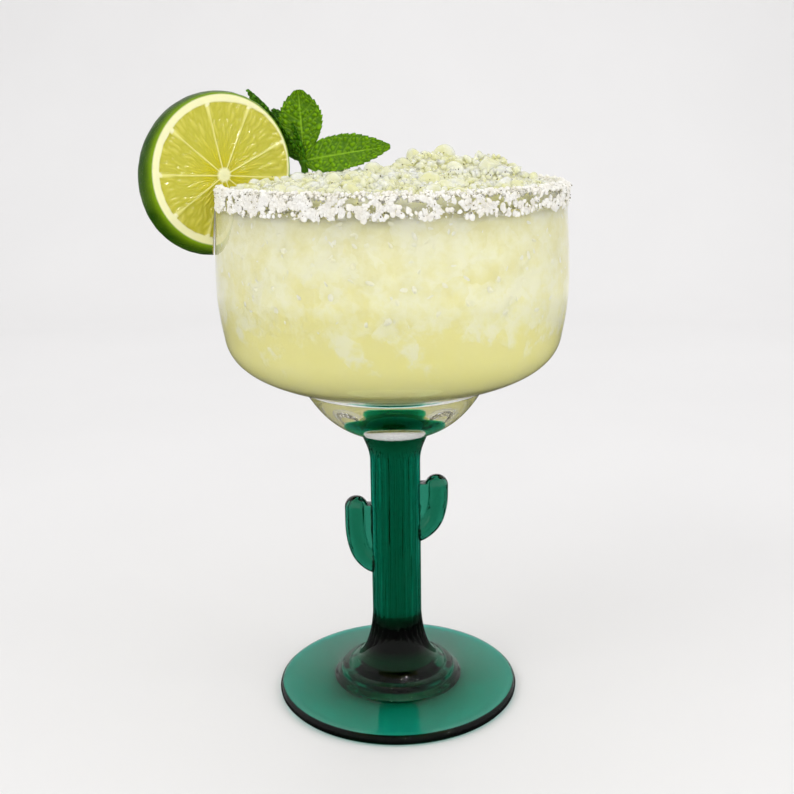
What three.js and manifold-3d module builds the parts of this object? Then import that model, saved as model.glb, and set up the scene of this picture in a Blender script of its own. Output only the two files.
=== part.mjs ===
// A margarita in its stemmed glass: a clear bowl on a green cactus stem, filled with a pale lime drink and
// heaped with crushed ice, with a salted rim, a lime wheel slit over the rim and a sprig of mint.
// Millimetres, +Z up, the origin at the middle of the foot's flat underside. The viewer stands at -Y.
import * as THREE from "three";
import { mergeVertices } from "three/addons/utils/BufferGeometryUtils.js";
import Module from "manifold-3d";

const wasm = await Module();
wasm.setup();

// Driving sizes of the glass
const RIM_HEIGHT = 181;
const RIM_RADIUS = 57.1;
const BOWL_RADIUS = 58.8;
const BOWL_WIDEST = 151;
const SHOULDER_RADIUS = 56.9;
const SHOULDER_HEIGHT = 133;
const WALL = 2;
const BUTTON_RADIUS = 31.4;
const BUTTON_TOP = 113.9;
const STEM_TOP = 96.35;
const STEM_TOP_RADIUS = 11.9;
const STEM_RADIUS = 8.8;
const FOOT_RADIUS = 43.2;
const FOOT_EDGE = 3;

// Gap between pieces that touch
const GAP = 0.3;

// Sizes of what is in and on the glass
const DRINK_LEVEL = 176;
const ICE_RADIUS = 53.6;
const ICE_MOUND = 180.2;
const SALT_SKIRT = 174;
const SALT_CREST = 183.3;
const LIME_FACE_RADIUS = 24.6;
const LIME_BULGE_RADIUS = 26.7;
const LIME_THICKNESS = 8;
const LIME_CENTRE = new THREE.Vector3(-56.9, 0, 186);
const LIME_TURN = THREE.MathUtils.degToRad(34);
const LIME_LEAN = THREE.MathUtils.degToRad(12);
const LIME_OVAL = 0.935;
const LIME_OVAL_TURN = THREE.MathUtils.degToRad(134);
const SPRIG_FOOT = new THREE.Vector3(-29.8, 18.5, 178.6);
const SPRIG_NODE = new THREE.Vector3(-29.9, 18.5, 188.6);

// Sides of the turned pieces
const BOWL_SIDES = 40;
const SALT_SIDES = 60;
const STEM_RIBS = 24;
const SIDES_A_RIB = 2;

// Seeded draw, so that uneven food comes out the same each time
function seeded(seed) {
  let state = seed;
  return () => {
    state = (state + 0x6d2b79f5) | 0;
    let t = Math.imul(state ^ (state >>> 15), 1 | state);
    t = (t + Math.imul(t ^ (t >>> 7), 61 | t)) ^ t;
    return ((t ^ (t >>> 14)) >>> 0) / 4294967296;
  };
}

function point(x, y) {
  return new THREE.Vector2(x, y);
}

// Points along a cubic curve, without its first point, so that stretches join end to end
function bend(from, pull, push, to, steps) {
  return new THREE.CubicBezierCurve(from, pull, push, to).getPoints(steps).slice(1);
}

// A profile of (radius, height) turned about +Z
function turned(profile, sides) {
  return new THREE.LatheGeometry(profile, sides).rotateX(Math.PI / 2);
}

// A closed geometry as a manifold solid, and back
function solidOf(geometry) {
  const bare = (geometry.index ? geometry.toNonIndexed() : geometry).clone();
  bare.deleteAttribute("normal");
  bare.deleteAttribute("uv");
  const merged = mergeVertices(bare, 1e-4);
  const mesh = new wasm.Mesh({
    numProp: 3,
    vertProperties: merged.attributes.position.array,
    triVerts: new Uint32Array(merged.index.array),
  });
  return new wasm.Manifold(mesh);
}

function geometryOf(solid) {
  const mesh = solid.getMesh();
  const geometry = new THREE.BufferGeometry();
  geometry.setAttribute("position", new THREE.BufferAttribute(mesh.vertProperties, 3));
  geometry.setIndex(new THREE.BufferAttribute(mesh.triVerts, 1));
  return geometry;
}

// The largest of a solid's separate bodies, which drops loose scraps
function largest(solid) {
  const bodies = solid.decompose();
  return bodies.reduce((a, b) => (b.volume() > a.volume() ? b : a));
}

// A closed skin over rows of points, where each row and the run of rows both wrap round
function wrappedGrid(rows) {
  const across = rows[0].length;
  const positions = rows.flat().flatMap((p) => [p.x, p.y, p.z]);
  const index = [];
  rows.forEach((_, i) => {
    const next = (i + 1) % rows.length;
    for (let j = 0; j < across; j++) {
      const k = (j + 1) % across;
      const a = i * across + j;
      const b = next * across + j;
      const c = next * across + k;
      const d = i * across + k;
      index.push(a, c, b, a, d, c);
    }
  });
  const geometry = new THREE.BufferGeometry();
  geometry.setAttribute("position", new THREE.Float32BufferAttribute(positions, 3));
  geometry.setIndex(index);
  return geometry;
}

// The bowl's wall: its inner line from the lip to the axis, drawn in by inset for what fills it
function innerLine(inset) {
  const lip = point(RIM_RADIUS - WALL, RIM_HEIGHT - 1.4);
  const widest = point(BOWL_RADIUS - 2.2, BOWL_WIDEST);
  const shoulder = point(SHOULDER_RADIUS - 2.5, SHOULDER_HEIGHT);
  const bottom = point(0, 116.6);
  const line = [
    lip,
    ...bend(lip, point(55.8, 171), point(56.6, 160), widest, 3),
    ...bend(widest, point(56.6, 145), point(55.6, 138.5), shoulder, 2),
    ...bend(shoulder, point(53.4, 121.4), point(36, 116.6), bottom, 5),
  ];
  return line.map((p) => point(Math.max(p.x - inset, 0), p.y + inset));
}

// The bowl's outer line from the button under it up to the lip
function outerLine() {
  const joint = point(STEM_TOP_RADIUS + 0.4, STEM_TOP + GAP);
  const waist = point(BUTTON_RADIUS, BUTTON_TOP);
  const shoulder = point(SHOULDER_RADIUS, SHOULDER_HEIGHT);
  const widest = point(BOWL_RADIUS, BOWL_WIDEST);
  const lip = point(RIM_RADIUS, RIM_HEIGHT - 1.4);
  return [
    joint,
    ...bend(joint, point(21, 99.5), point(26.5, 105), waist, 4),
    ...bend(waist, point(43.5, 117.6), point(55.6, 121.2), shoulder, 5),
    ...bend(shoulder, point(58, 138.5), point(BOWL_RADIUS, 144.5), widest, 2),
    ...bend(widest, point(BOWL_RADIUS, 160), point(57.9, 171), lip, 3),
  ];
}

function bowlGeometry() {
  const lip = [
    point(RIM_RADIUS - 0.3, RIM_HEIGHT - 0.4),
    point(RIM_RADIUS - WALL / 2, RIM_HEIGHT),
    point(RIM_RADIUS - WALL + 0.3, RIM_HEIGHT - 0.4),
  ];
  const profile = [point(0, STEM_TOP + GAP), ...outerLine(), ...lip, ...innerLine(0)];
  return turned(profile, BOWL_SIDES);
}

// The cactus trunk: ribs that fade out into the foot and into the flared top
function trunkSolid() {
  const footTop = point(23, 4.9);
  const hub = point(20.6, 7.3);
  const trunkFoot = point(STEM_RADIUS, 29);
  const trunkHead = point(STEM_RADIUS, 86);
  const profile = [
    point(0, 0),
    point(FOOT_RADIUS - 1.6, 0),
    point(FOOT_RADIUS - 0.3, 0.7),
    point(FOOT_RADIUS, 1.8),
    point(FOOT_RADIUS - 0.8, FOOT_EDGE),
    ...bend(point(FOOT_RADIUS - 0.8, FOOT_EDGE), point(31, 3.8), point(26, 4.2), footTop, 3),
    point(21.9, 6.4),
    hub,
    ...bend(hub, point(14.4, 9), point(9.6, 17), trunkFoot, 6),
    trunkHead,
    ...bend(trunkHead, point(8.8, 90), point(10.4, 93), point(STEM_TOP_RADIUS, STEM_TOP), 3),
    point(0, STEM_TOP),
  ];
  const trunk = turned(profile, STEM_RIBS * SIDES_A_RIB);
  const ribDepth = 0.45;
  const ribFade = 7;
  const places = trunk.attributes.position;
  for (let i = 0; i < places.count; i++) {
    const [x, y, z] = [places.getX(i), places.getY(i), places.getZ(i)];
    const up = THREE.MathUtils.smoothstep(z, 27 - ribFade, 27);
    const down = 1 - THREE.MathUtils.smoothstep(z, 86, 86 + ribFade);
    const groove = 1 - Math.abs(Math.cos((Math.atan2(y, x) * STEM_RIBS) / 2));
    const radius = Math.hypot(x, y);
    const share = radius > 1 ? 1 - (ribDepth * groove * up * down) / radius : 1;
    places.setXY(i, x * share, y * share);
  }
  return solidOf(trunk);
}

// One cactus arm: a ribbed limb that leaves the trunk and turns up, with a thin web in its crook
function armSolid(route, webCorners) {
  const limbRadius = 4.1;
  const lobes = 7;
  const section = new THREE.Shape();
  const corners = lobes * 2;
  for (let i = 0; i < corners; i++) {
    const angle = (i / corners) * 2 * Math.PI;
    const radius = limbRadius - (i % 2) * 0.5;
    const corner = point(radius * Math.cos(angle), radius * Math.sin(angle));
    if (i === 0) section.moveTo(corner.x, corner.y);
    else section.lineTo(corner.x, corner.y);
  }
  const path = new THREE.CatmullRomCurve3(route.map(([x, z]) => new THREE.Vector3(x, 0, z)));
  const limb = new THREE.ExtrudeGeometry(section, { steps: 9, extrudePath: path, bevelEnabled: false });
  const [tipX, tipZ] = route.at(-1);
  const cap = new THREE.SphereGeometry(limbRadius * 0.97, 14, 8).rotateX(Math.PI / 2);
  cap.translate(tipX, 0, tipZ);
  const webThickness = 3.4;
  const web = new THREE.ExtrudeGeometry(new THREE.Shape(webCorners.map(([x, z]) => point(x, z))), {
    depth: webThickness,
    bevelEnabled: false,
  });
  web.rotateX(Math.PI / 2).translate(0, webThickness / 2, 0);
  const flatness = 0.82;
  return solidOf(limb).add(solidOf(cap)).add(solidOf(web)).scale([1, flatness, 1]);
}

function stemGeometry() {
  const leftArm = armSolid(
    [[-3, 47.2], [-8.2, 48.4], [-12, 52.4], [-13.8, 59.5], [-14, 69]],
    [[-4, 48], [-12.6, 52], [-13, 69.5], [-4, 69.5]],
  );
  const rightArm = armSolid(
    [[3, 58.6], [8.4, 60.2], [12.4, 64], [14.2, 70], [14.5, 76.6]],
    [[4, 60], [12.9, 64], [13.4, 77.2], [4, 77.2]],
  );
  return geometryOf(trunkSolid().add(leftArm).add(rightArm));
}

// The wheel's own frame: its axis along its third direction, its front face towards the viewer, and its
// round drawn out a little into an oval, longer from lower left to upper right
const limeFrame = (() => {
  const front = new THREE.Vector3(
    Math.sin(LIME_TURN) * Math.cos(LIME_LEAN),
    -Math.cos(LIME_TURN) * Math.cos(LIME_LEAN),
    Math.sin(LIME_LEAN),
  );
  const side = new THREE.Vector3().crossVectors(new THREE.Vector3(0, 0, 1), front).normalize();
  const up = new THREE.Vector3().crossVectors(front, side);
  const turnIn = new THREE.Matrix4().makeRotationZ(LIME_OVAL_TURN);
  const turnBack = new THREE.Matrix4().makeRotationZ(-LIME_OVAL_TURN);
  const stretch = new THREE.Matrix4().makeScale(LIME_OVAL, 1 / LIME_OVAL, 1);
  const place = new THREE.Matrix4().makeBasis(side, up, front).setPosition(LIME_CENTRE);
  return place.multiply(turnIn).multiply(stretch).multiply(turnBack);
})();

// The space the wheel takes, drawn out by the gap, which everything round it is cut back to
function limeSpace() {
  const half = LIME_THICKNESS / 2 + GAP;
  const profile = [
    point(0, -half),
    point(LIME_FACE_RADIUS + 0.9 + GAP, -half),
    point(LIME_BULGE_RADIUS + 0.1 + GAP, -half * 0.65),
    point(LIME_BULGE_RADIUS - 0.4 + GAP, half * 0.2),
    point(LIME_FACE_RADIUS + 0.3 + GAP, half),
    point(0, half),
  ];
  return solidOf(turned(profile, 40).applyMatrix4(limeFrame));
}

// The space the glass wall takes where the wheel sits on it, drawn out by the gap
function wallSpace() {
  const slack = 0.4;
  const low = 150;
  const profile = [
    point(RIM_RADIUS - WALL - slack, RIM_HEIGHT + slack),
    point(BOWL_RADIUS - 2.2 - slack - 0.4, low),
    point(BOWL_RADIUS + slack + 0.5, low),
    point(58.6 + slack, 164),
    point(RIM_RADIUS + slack + 0.1, RIM_HEIGHT + slack),
  ];
  return solidOf(turned([...profile, profile[0]], BOWL_SIDES));
}

// Ten segments between raised membranes, which run from an off-centre core to a ring of pith, with the rim
// slit for the wall. The turns of the membranes are in degrees round the front face.
function limeGeometry() {
  const membranes = [17, 60, 100, 140, 179, 216, 251, 285, 316, 347];
  const core = point(0.4, -2);
  const coreRadius = 2.1;
  const fleshRadius = 21.8;
  const sunk = 0.45;
  const half = LIME_THICKNESS / 2;
  const shares = [0, 0.12, 0.5, 0.88];
  const spokes = membranes.flatMap((turn, k) => {
    const next = k + 1 < membranes.length ? membranes[k + 1] : membranes[0] + 360;
    return shares.map((share) => ({ angle: turn + share * (next - turn), raised: share === 0 }));
  });
  const ringOf = (radius, height, sinks) =>
    spokes.map(({ angle, raised }) => {
      const off = Math.max(1 - radius / fleshRadius, 0);
      const turn = THREE.MathUtils.degToRad(angle);
      const dip = sinks && !raised ? Math.sign(height) * sunk : 0;
      const [x, y] = [radius * Math.cos(turn) + off * core.x, radius * Math.sin(turn) + off * core.y];
      return new THREE.Vector3(x, y, height - dip);
    });
  const face = (height) => [
    ringOf(coreRadius, height, false),
    ringOf(coreRadius + 1, height, true),
    ringOf(fleshRadius - 1, height, true),
    ringOf(fleshRadius, height, false),
  ];
  const rings = [
    ...face(-half),
    ringOf(LIME_FACE_RADIUS + 0.7, -half, false),
    ringOf(LIME_BULGE_RADIUS, -half * 0.65, false),
    ringOf(LIME_BULGE_RADIUS - 0.5, half * 0.2, false),
    ringOf(LIME_FACE_RADIUS, half, false),
    ...face(half).reverse(),
  ];
  const skin = solidOf(discSkin(rings).applyMatrix4(limeFrame));
  return geometryOf(largest(skin.subtract(wallSpace())));
}

// Rings of points from one pole to the other, closed by a fan round the middle of the end rings
function discSkin(rings) {
  const across = rings[0].length;
  const positions = rings.flat().flatMap((p) => [p.x, p.y, p.z]);
  const index = [];
  for (let i = 0; i + 1 < rings.length; i++) {
    for (let j = 0; j < across; j++) {
      const k = (j + 1) % across;
      const a = i * across + j;
      const b = i * across + k;
      const c = (i + 1) * across + k;
      const d = (i + 1) * across + j;
      index.push(a, b, c, a, c, d);
    }
  }
  const low = rings.flat().length;
  const high = low + 1;
  const last = (rings.length - 1) * across;
  for (const ring of [rings[0], rings.at(-1)]) {
    const middle = ring.reduce((sum, p) => sum.add(p), new THREE.Vector3()).divideScalar(across);
    positions.push(middle.x, middle.y, middle.z);
  }
  for (let j = 0; j < across; j++) {
    const k = (j + 1) % across;
    index.push(low, k, j);
    index.push(high, last + j, last + k);
  }
  const geometry = new THREE.BufferGeometry();
  geometry.setAttribute("position", new THREE.Float32BufferAttribute(positions, 3));
  geometry.setIndex(index);
  return geometry;
}

// The drink fills the bowl up to its level, cut round the wheel
function drinkGeometry() {
  const wall = innerLine(GAP).filter((p) => p.y < DRINK_LEVEL - 2);
  const top = point(RIM_RADIUS - WALL + 0.3 - GAP, DRINK_LEVEL);
  const profile = [point(0, DRINK_LEVEL), top, ...wall].reverse();
  const drink = solidOf(turned(profile, BOWL_SIDES));
  return geometryOf(largest(drink.subtract(limeSpace())));
}

// Height of the ice under its lumps: a low mound with two crests right of the middle
function moundHeight(x, y) {
  const mound = 4.2 * (1 - (x * x + y * y) / (ICE_RADIUS * ICE_RADIUS));
  const crest = 6.6 * Math.exp(-((x - 14) ** 2 + (y - 2) ** 2) / 170);
  const knoll = 6.2 * Math.exp(-((x - 34) ** 2 + y * y) / 80);
  return ICE_MOUND + mound + crest + knoll;
}

// The heap of crushed ice: a mound with lumps fused on it, clear of the salt, the wheel and the mint's stem
function iceGeometry() {
  const bed = DRINK_LEVEL + GAP;
  const rings = [];
  const around = 24;
  const circle = (radius, height) =>
    [...Array(around).keys()].map((j) => {
      const angle = (j / around) * 2 * Math.PI;
      const [x, y] = [radius * Math.cos(angle), radius * Math.sin(angle)];
      return new THREE.Vector3(x, y, height ?? moundHeight(x, y));
    });
  rings.push(circle(24, bed), circle(ICE_RADIUS - 0.2, bed), circle(ICE_RADIUS, bed + 2));
  for (const share of [1, 0.84, 0.68, 0.52, 0.36, 0.2]) rings.push(circle(ICE_RADIUS * share));
  let heap = solidOf(discSkin(rings));

  const lumps = 68;
  const golden = Math.PI * (3 - Math.sqrt(5));
  const draw = seeded(11);
  const placed = [...Array(lumps).keys()].map((i) => {
    const reach = (ICE_RADIUS - 2.6) * Math.sqrt((i + 0.5) / lumps);
    const angle = i * golden + 0.5 * (draw() - 0.5);
    const [x, y] = [reach * Math.cos(angle), reach * Math.sin(angle)];
    const size = 3.9 + 2.3 * draw();
    const turn = new THREE.Euler(6 * draw(), 6 * draw(), 6 * draw());
    const lump = new THREE.IcosahedronGeometry(size, 0);
    lump.scale(1, 0.75 + 0.3 * draw(), 0.7 + 0.25 * draw());
    lump.applyMatrix4(new THREE.Matrix4().makeRotationFromEuler(turn));
    lump.translate(x, y, moundHeight(x, y) - size * (0.05 + 0.35 * draw()));
    return solidOf(lump);
  });
  for (const lump of placed) heap = heap.add(lump);

  const saltInside = RIM_RADIUS - WALL - 2.1;
  const room = [
    point(0, bed),
    point(RIM_RADIUS - WALL - 0.1, bed),
    point(RIM_RADIUS - WALL - 0.1, bed + 0.9),
    point(saltInside, bed + 2),
    point(saltInside, 215),
    point(0, 215),
  ];
  const hole = new THREE.CylinderGeometry(1.7, 1.7, 40, 10).rotateX(Math.PI / 2);
  hole.translate(SPRIG_FOOT.x, SPRIG_FOOT.y, SPRIG_FOOT.z - GAP + 20);
  heap = heap.intersect(solidOf(turned(room, BOWL_SIDES))).subtract(limeSpace()).subtract(solidOf(hole));
  return geometryOf(largest(heap));
}

// The crust of salt: a lumpy channel over the lip, with a ragged skirt, open where the wheel sits
function saltGeometry() {
  const draw = seeded(23);
  const [outside, inside] = [RIM_RADIUS + GAP, RIM_RADIUS - WALL - GAP];
  const rows = [...Array(SALT_SIDES).keys()].map((i) => {
    const angle = (i / SALT_SIDES) * 2 * Math.PI;
    const drop = 1.6 * (draw() - 0.6) + 0.9 * Math.sin(5 * angle) * Math.sin(2 * angle + 1);
    const rough = () => 0.9 * (draw() - 0.5);
    const proud = 1.5 + 0.5 * Math.cos(angle);
    const skirt = SALT_SKIRT + drop;
    const ring = [
      [outside + 0.35, skirt],
      [outside, RIM_HEIGHT - 0.5],
      [RIM_RADIUS - WALL / 2, RIM_HEIGHT + GAP],
      [inside, RIM_HEIGHT - 0.5],
      [inside - 0.9, 179.2 + 0.4 * draw()],
      [inside - 1.1 + 0.5 * rough(), 181.4],
      [RIM_RADIUS - WALL / 2 + 0.6 * rough(), SALT_CREST + 0.7 * rough()],
      [outside + 0.8 * proud + 0.5 * rough(), 181.7 + 0.6 * rough()],
      [outside + proud + 0.8 * rough(), 178.4],
      [outside + 0.7 * proud + 0.5 * rough(), skirt + 1],
    ];
    return ring.map(([radius, height]) => {
      return new THREE.Vector3(radius * Math.cos(angle), radius * Math.sin(angle), height);
    });
  });
  const ring = solidOf(wrappedGrid(rows));
  return geometryOf(largest(ring.subtract(limeSpace())));
}

// One mint leaf as a thin wavy solid with a toothed edge, from its base to its tip
function leafSolid({ base, tip, facing, width, fullest, arch }) {
  const along = new THREE.Vector3().subVectors(tip, base);
  const length = along.length();
  const ahead = along.clone().normalize();
  const across = new THREE.Vector3().crossVectors(facing, ahead).normalize();
  const out = new THREE.Vector3().crossVectors(ahead, across);
  const steps = 11;
  const thickness = 0.7;
  const dish = 0.18;
  const lanes = [-1, -0.55, 0, 0.55, 1];
  const spot = (i, lane, side) => {
    const u = i / steps;
    const tooth = Math.abs(lane) === 1 && i % 2 ? 0.9 : 1;
    const share = 0.03 + 0.95 * u ** (Math.log(0.5) / Math.log(fullest));
    const half = (width / 2) * Math.sin(Math.PI * share) ** 0.75 * tooth;
    const rise = arch * 4 * u * (1 - u);
    const wave = 0.35 * Math.sin(9 * u + 2 * lane) * Math.abs(lane);
    return base
      .clone()
      .addScaledVector(ahead, u * length)
      .addScaledVector(across, lane * half)
      .addScaledVector(out, rise + dish * half * lane * lane + wave + (side * thickness) / 2);
  };
  const rows = [...Array(steps + 1).keys()].map((i) => [
    ...lanes.map((lane) => spot(i, lane, 1)),
    ...[...lanes].reverse().map((lane) => spot(i, lane, -1)),
  ]);
  return solidOf(cappedSleeve(rows));
}

// A sleeve of rows that each go once round a flat section, closed at both ends
function cappedSleeve(rows) {
  const across = rows[0].length;
  const lanes = across / 2;
  const positions = rows.flat().flatMap((p) => [p.x, p.y, p.z]);
  const index = [];
  for (let i = 0; i + 1 < rows.length; i++) {
    for (let j = 0; j < across; j++) {
      const k = (j + 1) % across;
      const [a, b] = [i * across + j, (i + 1) * across + j];
      const [c, d] = [(i + 1) * across + k, i * across + k];
      if (j < lanes) index.push(a, b, c, a, c, d);
      else index.push(a, b, d, b, c, d);
    }
  }
  const end = (rows.length - 1) * across;
  for (let j = 0; j + 1 < lanes; j++) {
    const [p, q, r, s] = [j, j + 1, across - 2 - j, across - 1 - j];
    index.push(p, q, r, p, r, s);
    index.push(end + p, end + r, end + q, end + p, end + s, end + r);
  }
  const geometry = new THREE.BufferGeometry();
  geometry.setAttribute("position", new THREE.Float32BufferAttribute(positions, 3));
  geometry.setIndex(index);
  return geometry;
}

// The sprig: a short stem in the ice, two broad leaves before and beside it and two behind
function mintGeometry() {
  const at = (x, y, z) => new THREE.Vector3(x, y, z);
  const node = SPRIG_NODE;
  const leaves = [
    { tip: at(-31.4, 20.5, 212.2), facing: at(0.1, -1, 0.1), width: 15.4, fullest: 0.58, arch: -1.2 },
    { tip: at(-0.2, 13.5, 193), facing: at(0.1, -0.85, 0.5), width: 14.6, fullest: 0.38, arch: 0.4 },
    { tip: at(-41, 27.5, 205.8), facing: at(-0.75, -0.3, 0.6), width: 11, fullest: 0.5, arch: 0.8 },
    { tip: at(-48.6, 20.5, 212.6), facing: at(-0.6, -0.75, -0.3), width: 7.6, fullest: 0.5, arch: 0.6 },
  ];
  const bud = new THREE.IcosahedronGeometry(2, 1).translate(node.x, node.y, node.z);
  const stalkPath = new THREE.LineCurve3(SPRIG_FOOT, node);
  const round = new THREE.Shape().absarc(0, 0, 1.35, 0, 2 * Math.PI);
  const stalk = new THREE.ExtrudeGeometry(round, {
    steps: 2,
    curveSegments: 4,
    extrudePath: stalkPath,
    bevelEnabled: false,
  });
  let sprig = solidOf(bud).add(solidOf(stalk));
  for (const leaf of leaves) {
    const base = node.clone().addScaledVector(leaf.tip.clone().sub(node).normalize(), 0.4);
    sprig = sprig.add(leafSolid({ ...leaf, base }));
  }
  return geometryOf(largest(sprig.subtract(limeSpace())));
}

// Materials, with the colours of the real pieces
const materials = {
  bowl: new THREE.MeshStandardMaterial({ color: 0xe9efeb, roughness: 0.03, transparent: true, opacity: 0.3 }),
  stem: new THREE.MeshStandardMaterial({ color: 0x0a6b47, roughness: 0.05, transparent: true, opacity: 0.85 }),
  drink: new THREE.MeshStandardMaterial({ color: 0xdedb9c, roughness: 0.2 }),
  crushed_ice: new THREE.MeshStandardMaterial({ color: 0xd3d8b4, roughness: 0.15 }),
  salt_rim: new THREE.MeshStandardMaterial({ color: 0xf3f0ec, roughness: 0.7 }),
  lime_wheel: new THREE.MeshStandardMaterial({ color: 0xb9bb3c, roughness: 0.35 }),
  mint_sprig: new THREE.MeshStandardMaterial({ color: 0x3f8d1e, roughness: 0.45 }),
};

const geometries = {
  bowl: bowlGeometry(),
  stem: stemGeometry(),
  drink: drinkGeometry(),
  crushed_ice: iceGeometry(),
  salt_rim: saltGeometry(),
  lime_wheel: limeGeometry(),
  mint_sprig: mintGeometry(),
};

const margarita = new THREE.Group();
for (const [name, geometry] of Object.entries(geometries)) {
  const mesh = new THREE.Mesh(geometry, materials[name]);
  mesh.name = name;
  margarita.add(mesh);
}

export default margarita;
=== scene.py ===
"""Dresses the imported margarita: glass, green cactus stem, drink, crushed ice, salt, lime wheel and mint.

Everything is in metres in the frame's own axes: +Z up, the foot's underside at the origin, the viewer at -Y.
Lengths inside the classes are in millimetres and are scaled once, where a mesh is made.
"""

from __future__ import annotations

import logging
import math
from dataclasses import dataclass, field
from enum import Enum
from typing import Callable, Iterable, Sequence

import bmesh
import bpy
import numpy as np
from mathutils import Matrix, Vector, noise

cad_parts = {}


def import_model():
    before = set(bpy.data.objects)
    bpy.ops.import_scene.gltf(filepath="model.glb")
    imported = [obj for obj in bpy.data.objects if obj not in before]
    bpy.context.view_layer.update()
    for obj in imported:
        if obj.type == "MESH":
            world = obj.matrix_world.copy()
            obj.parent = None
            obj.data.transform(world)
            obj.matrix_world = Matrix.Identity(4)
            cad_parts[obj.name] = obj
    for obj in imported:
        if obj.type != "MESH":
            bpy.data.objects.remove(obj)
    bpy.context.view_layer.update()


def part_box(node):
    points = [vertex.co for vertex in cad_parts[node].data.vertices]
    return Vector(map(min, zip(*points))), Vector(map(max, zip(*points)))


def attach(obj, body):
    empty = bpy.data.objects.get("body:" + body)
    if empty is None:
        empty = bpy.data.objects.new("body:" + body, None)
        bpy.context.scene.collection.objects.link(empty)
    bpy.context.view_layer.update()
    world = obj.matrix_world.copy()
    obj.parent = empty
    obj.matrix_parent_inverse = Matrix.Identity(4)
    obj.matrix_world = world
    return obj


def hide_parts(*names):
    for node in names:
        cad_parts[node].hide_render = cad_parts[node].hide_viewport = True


MM = 0.001
ROOT = "root"
log = logging.getLogger("margarita")

Points = np.ndarray
Faces = list[tuple[int, ...]]
Skin = tuple[Points, Faces]
Span = tuple[float, float]
Spot = tuple[float, float, float]
Colour = tuple[float, float, float, float]
Thing = bpy.types.Object
Material = bpy.types.Material
Socket = bpy.types.NodeSocket
WHITE: Colour = (1.0, 1.0, 1.0, 1.0)


def srgb(red: int, green: int, blue: int) -> Colour:
    """A display colour, 0 to 255 a channel, as the linear colour that a shader takes.

    Args:
        red: Red as displayed.
        green: Green as displayed.
        blue: Blue as displayed.

    Returns:
        The linear colour with an alpha of one.
    """
    parts = [value / 255 for value in (red, green, blue)]
    linear = [part / 12.92 if part <= 0.04045 else ((part + 0.055) / 1.055) ** 2.4 for part in parts]
    return (*linear, 1.0)


def smoothstep(low: float, high: float, value: Points | float) -> Points | float:
    """A soft step from zero at low to one at high.

    Args:
        low: Where the step starts.
        high: Where the step ends.
        value: The value or values to step.

    Returns:
        The step's height at each value.
    """
    share = np.clip((np.asarray(value, dtype=float) - low) / (high - low), 0, 1)
    return share * share * (3 - 2 * share)


def bend(
    start: Sequence[float], pull: Sequence[float], push: Sequence[float], end: Sequence[float], steps: int
) -> Points:
    """Points along a cubic curve, without its first point, so that stretches join end to end.

    Args:
        start: The curve's first point.
        pull: The handle of the first point.
        push: The handle of the last point.
        end: The curve's last point.
        steps: How many points to give.

    Returns:
        An array of points, one row each.
    """
    t = np.linspace(0, 1, steps + 1)[1:, None]
    corners = [np.asarray(corner, dtype=float) for corner in (start, pull, push, end)]
    weights = [(1 - t) ** 3, 3 * t * (1 - t) ** 2, 3 * t**2 * (1 - t), t**3]
    return sum(weight * corner for weight, corner in zip(weights, corners))


class SeededDraw:
    """A small seeded draw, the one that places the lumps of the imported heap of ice."""

    def __init__(self, seed: int) -> None:
        """Starts the draw at a seed."""
        self.state = seed

    def __call__(self) -> float:
        """The next number, from 0 to 1.

        Returns:
            The number.
        """
        mask = 0xFFFFFFFF
        self.state = (self.state + 0x6D2B79F5) & mask
        t = ((self.state ^ (self.state >> 15)) * (1 | self.state)) & mask
        t = ((t + (((t ^ (t >> 7)) * (61 | t)) & mask)) & mask) ^ t
        return ((t ^ (t >> 14)) & mask) / 4294967296


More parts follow.
